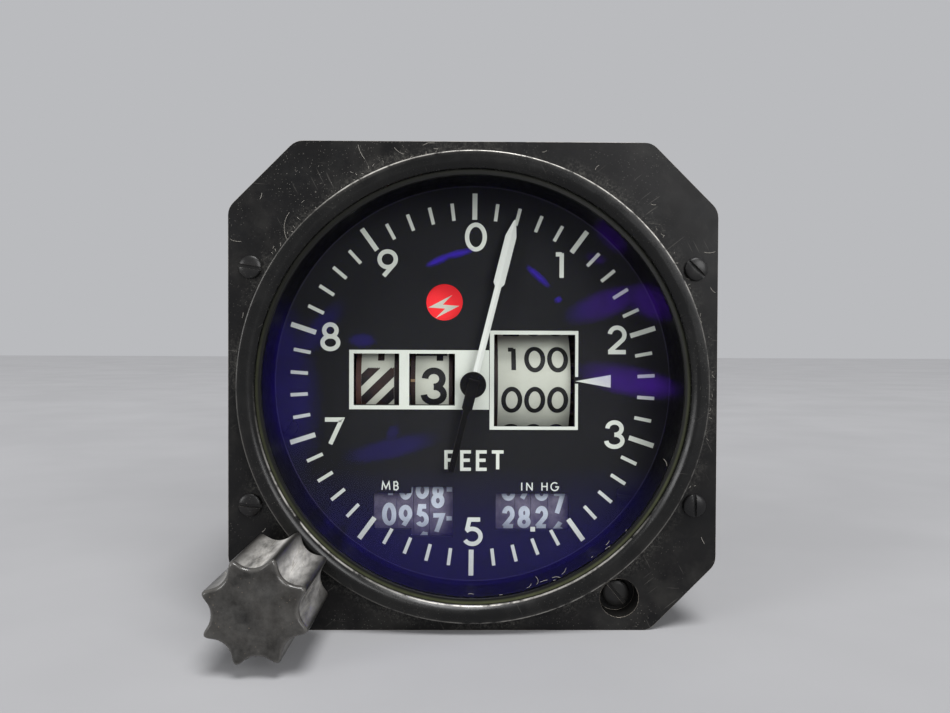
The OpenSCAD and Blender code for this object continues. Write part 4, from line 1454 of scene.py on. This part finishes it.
@dataclass
class Hatch:
    """Sloping bars that stand for a leading zero on a drum."""

    starts: tuple[float, ...] = (-8.6, -4.55, -0.5, 3.55)
    above: float = 3.45
    below: float = 3.6
    slope: float = 0.98
    row: float = 0.375
    rows: int = 6
    steps: int = 32
    inset: float = 0.02
    least: float = 0.01

    def draw(self, ink: Ribbons, band: Point, along: float) -> None:
        """Add the bars, each in narrow rows that bend round the drum.

        Args:
            ink: The strokes to add to.
            band: Left and right end of the drum's band.
            along: Middle of the bars round the drum.
        """
        a, b = band
        low, high = along - self.below, along + self.above
        across = [a + self.inset + (b - a - 2 * self.inset) * i / self.steps
                  for i in range(self.steps + 1)]
        for start in self.starts:
            for n in range(self.rows):
                foot = along + start - self.below + n * self.row
                line = [(x, foot + (x - a) * self.slope) for x in across]
                shown = [(x, z) for x, z in line
                         if low < z + self.row - 0.005 and z < high - self.inset]
                if len(shown) > 2:
                    lower = [(x, max(low, z)) for x, z in shown]
                    upper = [(x, max(max(low, z) + self.least, min(high, z + self.row)))
                             for x, z in shown]
                    ink.strip(lower, upper, ink.thick)


@dataclass
class Drum:
    """One counter drum: its printed band and numbers.

    Marks are the left and right end, height and rise above the number of a mark beside each number.
    """

    body: str
    band: Point
    signs: tuple[str, ...]
    x: float
    height: float
    stroke: float
    showing: float
    radius: float = 12.2
    y: float = 17.0
    z: float = 0.0
    pitch: float = 0
    wide: float = 1.0
    shift: float = 0
    finish: PrintFinish = DIGIT_BLACK
    edge: Point | None = None
    marks: tuple[float, float, float, float] | None = None
    mark_finish: PrintFinish = DIGIT_BLUE
    band_finish: PrintFinish = DRUM_WHITE
    band_proud: float = 0.03
    edge_proud: float = 0.02
    ink_thick: float = 0.035

    def build(self, shop: Workshop) -> None:
        """Make the band and the numbers.

        Args:
            shop: The workshop.
        """
        outer = self.radius + self.band_proud
        self.sleeve(shop, "_band", self.band, outer, self.band_finish)
        # The edge band is a painted reflection.
        if self.edge:
            self.sleeve(shop, "_edge", self.edge, self.radius + self.edge_proud, DRUM_EDGE_REFLECTION)
        ink, index = Ribbons(thick=self.ink_thick), Ribbons(thick=self.ink_thick)
        count = len(self.signs)
        for i, sign in enumerate(self.signs):
            turn = (i - self.showing + count / 2) % count - count / 2
            along = math.radians(turn * 360 / count + self.shift) * outer
            if self.marks:
                a, b, tall, above = self.marks
                index.rectangle(a, b, along + above - tall / 2, along + above + tall / 2)
            if sign == "/":
                Hatch().draw(ink, self.band, along)
            else:
                ink.write(sign, self.x, along, self.height, self.stroke, self.pitch, self.wide)
        self.wrap(shop, "_digits", ink, outer, self.finish)
        if self.marks:
            on_band = self.band[0] <= self.marks[0]
            self.wrap(shop, "_marks", index, outer if on_band else self.radius, self.mark_finish)

    def sleeve(self, shop: Workshop, suffix: str, ends: Point, outer: float,
               finish: PrintFinish) -> None:
        """Slip a thin sleeve over the drum.

        Args:
            shop: The workshop.
            suffix: End of the piece's name.
            ends: Its left and right end.
            outer: Its outer radius.
            finish: Its finish.
        """
        (a, b), inner = ends, self.radius - 0.02
        profile = [(outer, a), (outer, b), (inner, b), (inner, a)]
        mesh = shop.turned(self.body + suffix, profile, "X", (0, self.y, self.z), 128)
        shop.piece(self.body + suffix, mesh, self.body, finish, (), 30)

    def wrap(self, shop: Workshop, suffix: str, ink: Ribbons, radius: float,
             finish: PrintFinish) -> None:
        """Wrap strokes round the drum.

        Args:
            shop: The workshop.
            suffix: End of the piece's name.
            ink: The strokes.
            radius: Radius that they lie on.
            finish: Their finish.
        """
        mesh = ink.on_drum(shop, self.body + suffix, radius, self.y, self.z)
        shop.piece(self.body + suffix, mesh, self.body, finish)


TENS = tuple(str(n) for n in range(10))


@dataclass
class Counters:
    """Altitude drums and the two pressure counters.

    A pressure drum is its band's ends, the middle of its number, the number shown and its turn.
    """

    baro_y: float = 13.3
    baro_z: float = -22.8
    baro_r: float = 8.5
    baro_h: float = 4.45
    baro_w: float = 0.86
    baro_wide: float = 0.68

    def drums(self) -> list[Drum]:
        """Describe the drums.

        Returns:
            The drums.
        """
        hundreds = tuple(n + "00" for n in TENS)
        made = [
            Drum("hundreds_drum", (4.6, 17.88), hundreds, 11.36, 5.05, 0.84, 0.47, pitch=4.22,
                 shift=2.7),
            Drum("thousands_drum", (-10.5, -4.4), TENS, -7.15, 7.0, 1.2, 3.07, wide=0.94,
                 marks=(-11.36, -10.54, 0.5, 1.1), mark_finish=DRUM_TAN),
            Drum("ten_thousands_drum", (-20.4, -14.4), ("/",) + TENS[1:], -17.25, 7.0, 1.2, 0.07,
                 wide=0.9, finish=DIGIT_WORN, edge=(-21.38, -20.42)),
        ]
        shown = {"mb_thousands": ((-18, -13.88), -15.24, 0, -8.3),
                 "mb_hundreds": ((-13.82, -10.83), -12.25, 9, -11),
                 "mb_tens": ((-10.77, -7.93), -9.2, 5, -10),
                 "mb_units": ((-7.87, -3.4), -6.34, 7, -21.2),
                 "hg_tens": ((4, 7.72), 6.6, 2, -12.1),
                 "hg_units": ((7.78, 10.62), 9.5, 8, -12.1),
                 "hg_tenths": ((10.68, 13.72), 12.7, 2, -12.1),
                 "hg_hundredths": ((13.78, 17.6), 15.8, 6, -30.2)}
        for body, (band, x, digit, shift) in shown.items():
            made.append(Drum(body, band, TENS, x, self.baro_h, self.baro_w, digit, self.baro_r,
                             self.baro_y, self.baro_z, wide=self.baro_wide, shift=shift,
                             finish=DIGIT_BLUE, band_finish=FINISHES[Slot.VIOLET_DRUM],
                             marks=(-4.75, -3.75, 0.85, 1.2) if body == "mb_units" else None))
        return made

    def build(self, shop: Workshop) -> None:
        """Make the drums' bands and numbers."""
        for drum in self.drums():
            drum.build(shop)


@dataclass
class Hand:
    """White pointer with its black tail and hub, and the power flag's mark."""

    turn: float = 14.1
    blade_from: float = 2.3
    flag_at: Point = (-5.2, 14.8)
    flash: tuple[Point, ...] = ((1.36, 1.52), (-3.08, -0.82), (0.05, -1.01), (-1.77, -2.81),
                                (2.68, -0.5), (-0.4, -0.28))

    def build(self, shop: Workshop) -> None:
        """Make the pieces.

        Args:
            shop: The workshop.
        """
        white = FINISHES[Slot.POINTER_WHITE]
        mesh = shop.soften(shop.solid_copy("pointer"), 0.05, white, 2)
        mesh.materials.append(shop.palette.get(HAND_BLACK))
        a = math.radians(self.turn)
        for polygon in mesh.polygons:
            c = polygon.center / MM
            if c.x * math.sin(a) + c.z * math.cos(a) < self.blade_from:
                polygon.material_index = 1
        shop.piece("pointer_hand", mesh, "altitude_hand", white, ("pointer",))
        shop.rounded_solid("pointer_disc", "pointer_hub", "altitude_hand", HAND_BLACK, 0.08)
        low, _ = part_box("power_flag")
        ink = Ribbons(thick=0.04)
        ink.polygon([(x + self.flag_at[0], z + self.flag_at[1]) for x, z in self.flash])
        mesh = ink.on_plane(shop, "flag_flash", low.y / MM)
        shop.piece("flag_flash", mesh, "power_flag", FLAG_PALE)


@dataclass
class Knob:
    """Fluted setting knob."""

    x: float = -31.4
    z: float = -31.4
    radius: float = 8.12
    lobes: int = 8
    lobe_at: float = 20.0
    flute_r: float = 3.5
    flute_at: float = 9.86
    front: float = -26.1
    rear: float = -9.7
    edge: float = 0.7
    rear_edge: float = 0.12
    unworn: float = 0.25
    around: int = 320
    softenings: int = 16
    # Angle towards which the flutes are paler, and the share kept by the lowest flutes.
    dust_at: float = math.radians(22)
    least_dust: float = 0.42
    face_dust: float = 0.04

    def outline(self) -> list[Triple]:
        """Work out the fluted section.

        Returns:
            Angle, radius and depth of hollow, from 0 to 1, at each step.
        """
        radii = []
        pitch = 360 / self.lobes
        for i in range(self.around):
            t = math.radians((360 * i / self.around - self.lobe_at) % pitch - pitch / 2)
            inside = self.flute_r ** 2 - (self.flute_at * math.sin(t)) ** 2
            reach = self.radius + self.unworn
            if inside > 0:
                reach = min(reach, self.flute_at * math.cos(t) - math.sqrt(inside))
            radii.append(reach)
        soft = np.array(radii)
        for _ in range(self.softenings):
            soft = (np.roll(soft, 1) + 2 * soft + np.roll(soft, -1)) / 4
        soft = np.minimum(soft, self.radius)
        low, high = soft.min(), soft.max()
        return [(math.radians(360 * i / self.around), r, (high - r) / (high - low))
                for i, r in enumerate(soft)]

    def sections(self) -> list[tuple[float, float, float, float]]:
        """Sections from the rear to the front and in over the face.

        Returns:
            Depth, growth of the radius, share of it that is left and edge rubbing of each section.
        """
        start = self.rear - self.rear_edge
        length = start - self.front - self.edge
        made = [(self.rear, -self.rear_edge, 1.0, 0.0)]
        made += [(start - length * i / 8, 0.0, 1.0, 0.0) for i in range(9)]
        for i in range(1, 7):
            t = math.radians(15 * i)
            made.append((self.front + self.edge * (1 - math.sin(t)),
                         -self.edge * (1 - math.cos(t)), 1.0, math.sin(2 * t) ** 2))
        made += [(self.front, -self.edge, share, 0.0) for share in (0.75, 0.5, 0.25)]
        return made

    def build(self, shop: Workshop) -> None:
        """Loft the knob with a rounded front edge.

        Args:
            shop: The workshop.
        """
        outline, sections = self.outline(), self.sections()
        points, hollow, wear = [], [], []
        for y, growth, share, worn in sections:
            for a, radius, deep in outline:
                r = (radius + growth) * share
                points.append((self.x + r * math.sin(a), y, self.z + r * math.cos(a)))
                # Upward flutes get a larger hollow value, so they come out paler.
                upper = max(0.0, math.cos(a - self.dust_at))
                toward_top = self.least_dust + (1 - self.least_dust) * upper
                on_side = worn == 0 and growth >= -self.rear_edge
                hollow.append(deep * toward_top if on_side else self.face_dust)
                wear.append(worn)
        n, last = self.around, len(sections) - 1
        rows = [[s * n + i for i in range(n)] for s in range(len(sections))]
        faces = [(rows[s][i], rows[s][(i + 1) % n], rows[s + 1][(i + 1) % n], rows[s + 1][i])
                 for s in range(last) for i in range(n)]
        middle = len(points)
        points += [(self.x, self.front, self.z), (self.x, self.rear, self.z)]
        hollow += [self.face_dust, 0]
        wear += [0, 0]
        faces += [(rows[last][i], rows[last][(i + 1) % n], middle) for i in range(n)]
        faces += [((i + 1) % n, i, middle + 1) for i in range(n)]
        mesh = shop.mesh("knob_body", points, faces)
        shop.store(mesh, "hollow", hollow)
        shop.store(mesh, "wear", wear)
        shop.outward(mesh)
        finish = FINISHES[Slot.KNOB_PLASTIC]
        shop.piece("knob_body", mesh, "baro_knob", finish, ("baro_knob",), 50)


@dataclass
class Lint:
    """Stray fibres on the flange, at the glass's lower edge and in the knob's upper flutes.

    A laid fibre is its start across and up, length, first direction and turn for each millimetre.
    A flute is its angle from the top and its number of fibres.
    """

    seed: int = 11
    thick: float = 0.028
    sides: int = 6
    front: float = -6.03
    glass_front: float = -7.04
    limit: float = 41.0
    loose_limit: float = 40.4
    loose: int = 70
    loose_from: float = 39.5
    loose_spans: tuple[Point, ...] = ((-28, 52), (95, 150))
    on_glass: int = 13
    glass_r: Point = (34.6, 35.3)
    glass_at: Point = (-66, 22)
    flutes: tuple[tuple[float, int], ...] = ((42.5, 15), (-2.5, 9), (87.5, 8), (-47.5, 5))
    flute_points: int = 15
    laid: tuple[tuple[float, float, float, float, float], ...] = (
        (-19.5, 40.6, 2.6, -80, 12), (-13.4, 40.2, 2.0, -60, 25), (-31.0, 29.2, 5.0, 232, 14),
        (-40.8, 24.6, 1.8, -25, 12), (-35.9, 31.4, 1.1, 60, 20), (-8.6, 40.6, 2.4, 20, 10),
        (11.4, 39.6, 0.9, -20, 60), (21.0, 37.4, 1.0, 200, 60), (29.8, 31.0, 0.9, -30, 40),
        (25.6, 26.8, 1.5, -20, 45), (38.9, 22.9, 1.9, -15, 20), (40.0, 17.0, 1.3, -70, 30),
        (-38.9, 11.5, 0.9, 60, 30), (38.8, -25.4, 1.2, -75, 20), (-35.6, -24.6, 0.9, 20, 40),
        (38.6, 11.0, 1.6, 120, 30))

    def build(self, shop: Workshop, knob: Knob) -> None:
        """Lay the fibres.

        Args:
            shop: The workshop.
            knob: The knob that some of them lie on.
        """
        chance = random.Random(self.seed)
        strands = [self.curl(chance, *strand, self.front) for strand in self.laid]
        for _ in range(self.loose):
            angle = math.radians(chance.choice([chance.uniform(*s) for s in self.loose_spans]))
            radius = self.loose_from + abs(chance.gauss(0, 1.0))
            x, z = (min(radius * turn(angle), self.loose_limit) for turn in (math.cos, math.sin))
            strands.append(self.curl(chance, x, z, chance.uniform(0.15, 0.7),
                                     chance.uniform(0, 360), chance.uniform(-90, 90), self.front))
        for _ in range(self.on_glass):
            degrees = chance.gauss(*self.glass_at)
            angle, radius = math.radians(degrees), chance.uniform(*self.glass_r)
            strands.append(self.curl(chance, radius * math.cos(angle), radius * math.sin(angle),
                                     chance.uniform(0.3, 1.7), degrees + 90 + chance.gauss(0, 14),
                                     chance.gauss(0, 30), self.glass_front))
        self.lay(shop, "flange_lint", "housing", strands)
        self.lay(shop, "knob_lint", "baro_knob", self.in_flutes(chance, knob))

    def curl(self, chance: random.Random, x: float, z: float, length: float, heading: float,
             curl: float, front: float) -> Strand:
        """Wind one fibre over a flat face.

        Args:
            chance: Source of its irregularity.
            x: Its start across.
            z: Its start up.
            length: Its length.
            heading: First direction in degrees.
            curl: Mean turn in degrees for each millimetre.
            front: Depth of the face.

        Returns:
            Its points.
        """
        steps = max(8, round(length * 8))
        angle = math.radians(heading)
        points = [(x, front, z)]
        for _ in range(steps):
            angle += math.radians(curl * chance.uniform(0.2, 1.9)) * length / steps
            x += math.cos(angle) * length / steps
            z += math.sin(angle) * length / steps
            x, z = (max(-self.limit, min(self.limit, value)) for value in (x, z))
            points.append((x, front - abs(chance.gauss(0, 0.01)), z))
        return points

    def in_flutes(self, chance: random.Random, knob: Knob) -> list[Strand]:
        """Lay short fibres along the knob's upper flutes.

        Args:
            chance: Source of their irregularity.
            knob: The knob.

        Returns:
            The points of each fibre.
        """
        radii = [r for _, r, _ in knob.outline()]
        strands = []
        for flute, count in self.flutes:
            for _ in range(count):
                angle = flute + chance.uniform(-13, 13)
                y = chance.uniform(knob.front + 1.2, knob.rear - 3.5)
                length, lean = chance.uniform(1.2, 5.2), chance.gauss(0, 4.0)
                strand = []
                for i in range(self.flute_points):
                    lean += chance.gauss(0, 0.35)
                    angle += lean / self.flute_points
                    step = round(angle / 360 * knob.around) % knob.around
                    radius = radii[step] + 0.03
                    a = math.radians(angle)
                    along = min(y + length * i / (self.flute_points - 1), knob.rear - 0.3)
                    strand.append((knob.x + radius * math.sin(a), along,
                                   knob.z + radius * math.cos(a)))
                strands.append(strand)
        return strands

    def lay(self, shop: Workshop, name: str, body: str, strands: list[Strand]) -> None:
        """Turn lines into round fibres.

        Args:
            shop: The workshop.
            name: Name of the piece.
            body: The body that it rides on.
            strands: The points of each fibre.
        """
        tree = NodeTree(name, Radius=("NodeSocketFloat", 0.0), Sides=("NodeSocketInt", 6),
                        Material=("NodeSocketMaterial", None))
        curve = tree.add("GeometryNodeMeshToCurve", {"Mesh": tree.given("Geometry")})
        section = tree.add("GeometryNodeCurvePrimitiveCircle",
                           {"Resolution": tree.given("Sides"), "Radius": tree.given("Radius")})
        swept = tree.add("GeometryNodeCurveToMesh", {
            "Curve": curve.outputs["Curve"], "Profile Curve": section.outputs["Curve"],
            "Fill Caps": True})
        tree.end(swept.outputs["Mesh"])
        points, edges = [], []
        for strand in strands:
            edges += [(len(points) + i, len(points) + i + 1) for i in range(len(strand) - 1)]
            points += strand
        mesh = tree.run(shop.mesh(name, points, [], edges), Radius=self.thick * MM,
                        Sides=self.sides, Material=shop.palette.get(LINT_GREY))
        shop.piece(name, mesh, body, LINT_GREY, (), 60)


@dataclass
class Casing:
    """Case, rear cover, connector and port behind the panel."""

    rounding: dict[str, float] = field(default_factory=lambda: {
        "case": 0.4, "rear_cover": 0.35, "rear_cover_screws": 0.2, "connector_shell": 0.2,
        "connector_insert": 0.15, "connector_screws": 0.15, "static_port": 0.2})

    def build(self, shop: Workshop) -> None:
        """Round the edges of the solids that show behind the panel.

        Args:
            shop: The workshop.
        """
        slots = {p["node"]: p["material_slot"] for p in frame["record"]["subparts"]}
        for node, width in self.rounding.items():
            painted = node in ("case", "rear_cover")
            finish = CASE_PAINT if painted else FINISHES[Slot(slots[node])]
            shop.rounded_solid(node + "_body", node, "housing", finish, width)


@dataclass
class Studio:
    """Floor, lights, world and camera, in metres apart from the camera's place.

    A lamp is its place, size and power.
    """

    floor_half: float = 3.0
    floor_colours: tuple[Colour, Colour] = ((172, 172, 174), (178, 178, 180))
    sky_from: Triple = (0.15, -0.4, 1)
    sky_power: float = 2.3
    sky_angle: float = 26
    lamps: dict[str, tuple[Triple, float, float]] = field(default_factory=lambda: {
        "lamp_left": ((-1.15, -0.8, 0.35), 0.6, 7.0),
        "lamp_right": ((0.58, -0.95, 0.42), 0.6, 6.5)})
    wall: Colour = (186, 187, 190)
    fill: float = 0.6
    camera_at: Triple = (-1.06, -135.74, 7.04)
    pitch: float = -0.835
    yaw: float = -0.582
    roll: float = 0.224
    sensor: float = 36
    focal_pixels: float = 769
    photo_pixels: float = 950

    def build(self) -> None:
        """Set the scene."""
        for make in (self.floor, self.lights, self.world, self.camera):
            make()
        bpy.context.scene.view_settings.view_transform = "Standard"

    def floor(self) -> None:
        """Lay a plain pale floor under the flange."""
        low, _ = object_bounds()
        mesh = bpy.data.meshes.new("floor")
        side = self.floor_half
        corners = [(x * side, y * side, low.z) for x, y in ((-1, -1), (1, -1), (1, 1), (-1, 1))]
        mesh.from_pydata(corners, [], [(0, 1, 2, 3)])
        g = Graph("floor_pale")
        cloud = g.range(g.noise(14, 4), 0.35, 0.7)
        g.set(Base_Color=g.mix(cloud, *map(linear, self.floor_colours)))
        g.set(Roughness=0.9, Specular_IOR_Level=0.0)
        mesh.materials.append(g.material)
        floor = put_in_scene("floor", mesh)
        floor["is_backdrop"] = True

    def lights(self) -> None:
        """Hang a broad light above and two soft lamps in front."""
        sky = bpy.data.lights.new("lamp_sky", "SUN")
        sky.energy = self.sky_power
        sky.angle = math.radians(self.sky_angle)
        self.aim(put_in_scene("lamp_sky", sky), self.sky_from)
        for name, (spot, size, power) in self.lamps.items():
            data = bpy.data.lights.new(name, "AREA")
            data.size = size
            data.energy = power
            lamp = put_in_scene(name, data)
            lamp.location = spot
            self.aim(lamp, spot)

    def aim(self, lamp: bpy.types.Object, spot: Triple) -> None:
        """Turn a lamp from its place towards the object."""
        lamp.rotation_euler = (-Vector(spot)).to_track_quat("-Z", "Y").to_euler()

    def world(self) -> None:
        """Fill with even pale light, with a pale wall behind for the camera."""
        world = bpy.data.worlds.new("studio")
        world.use_nodes = True
        nodes = Nodes(world.node_tree)
        path = nodes.add("ShaderNodeLightPath").outputs
        seen = nodes.most([path[f"Is {kind} Ray"] for kind in ("Glossy", "Transmission", "Camera")])
        level = nodes.add("ShaderNodeMapRange", {"Value": seen, "To Min": self.fill, "To Max": 1.0})
        back = nodes.tree.nodes["Background"]
        nodes.put(back.inputs["Color"], linear(self.wall))
        nodes.put(back.inputs["Strength"], level.outputs["Result"])
        bpy.context.scene.world = world

    def camera(self) -> None:
        """Stand the camera where the photograph was taken from."""
        pitch, yaw, roll = (math.radians(a) for a in (self.pitch, self.yaw, self.roll))
        ahead = Vector((-math.sin(yaw) * math.cos(pitch), math.cos(yaw) * math.cos(pitch),
                        math.sin(pitch)))
        right = Vector((math.cos(yaw), math.sin(yaw), 0))
        up = right.cross(ahead)
        across = math.cos(roll) * right + math.sin(roll) * up
        upward = -math.sin(roll) * right + math.cos(roll) * up
        data = bpy.data.cameras.new("camera")
        data.sensor_width = self.sensor
        data.lens = self.focal_pixels / self.photo_pixels * self.sensor
        data.clip_start = 0.005
        camera = put_in_scene("camera", data)
        turn = Matrix((across, upward, -ahead)).transposed().to_4x4()
        camera.matrix_world = Matrix.Translation(Vector(self.camera_at) * MM) @ turn
        bpy.context.scene.camera = camera


class Altimeter:
    """The whole instrument."""

    def __init__(self) -> None:
        """Open the workshop."""
        self.shop = Workshop(Palette())

    def build(self) -> None:
        """Make the pieces in order, then finish the solids that stay."""
        knob = Knob()
        for part in (Bezel(), DialFace(), Counters(), Hand(), knob, Casing()):
            part.build(self.shop)
        Lint().build(self.shop, knob)
        self.dress_solids()

    def dress_solids(self) -> None:
        """Put a finish on every solid that is still shown."""
        for entry in frame["record"]["subparts"]:
            node = entry["node"]
            if node in self.shop.replaced:
                continue
            material = self.shop.palette.get(FINISHES[Slot(entry["material_slot"])])
            for place in frame["nodes"][node].material_slots:
                place.material = material


def corners(box: tuple[Vector, Vector]) -> list[list[float]]:
    """Turn a box's corners into plain lists."""
    return [list(map(float, corner)) for corner in box]


def main() -> None:
    """Build the altimeter and its studio."""
    logging.basicConfig(level=logging.INFO, format="%(message)s")
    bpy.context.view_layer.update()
    Studio().build()
    Altimeter().build()


if __name__ == "__main__":
    main()
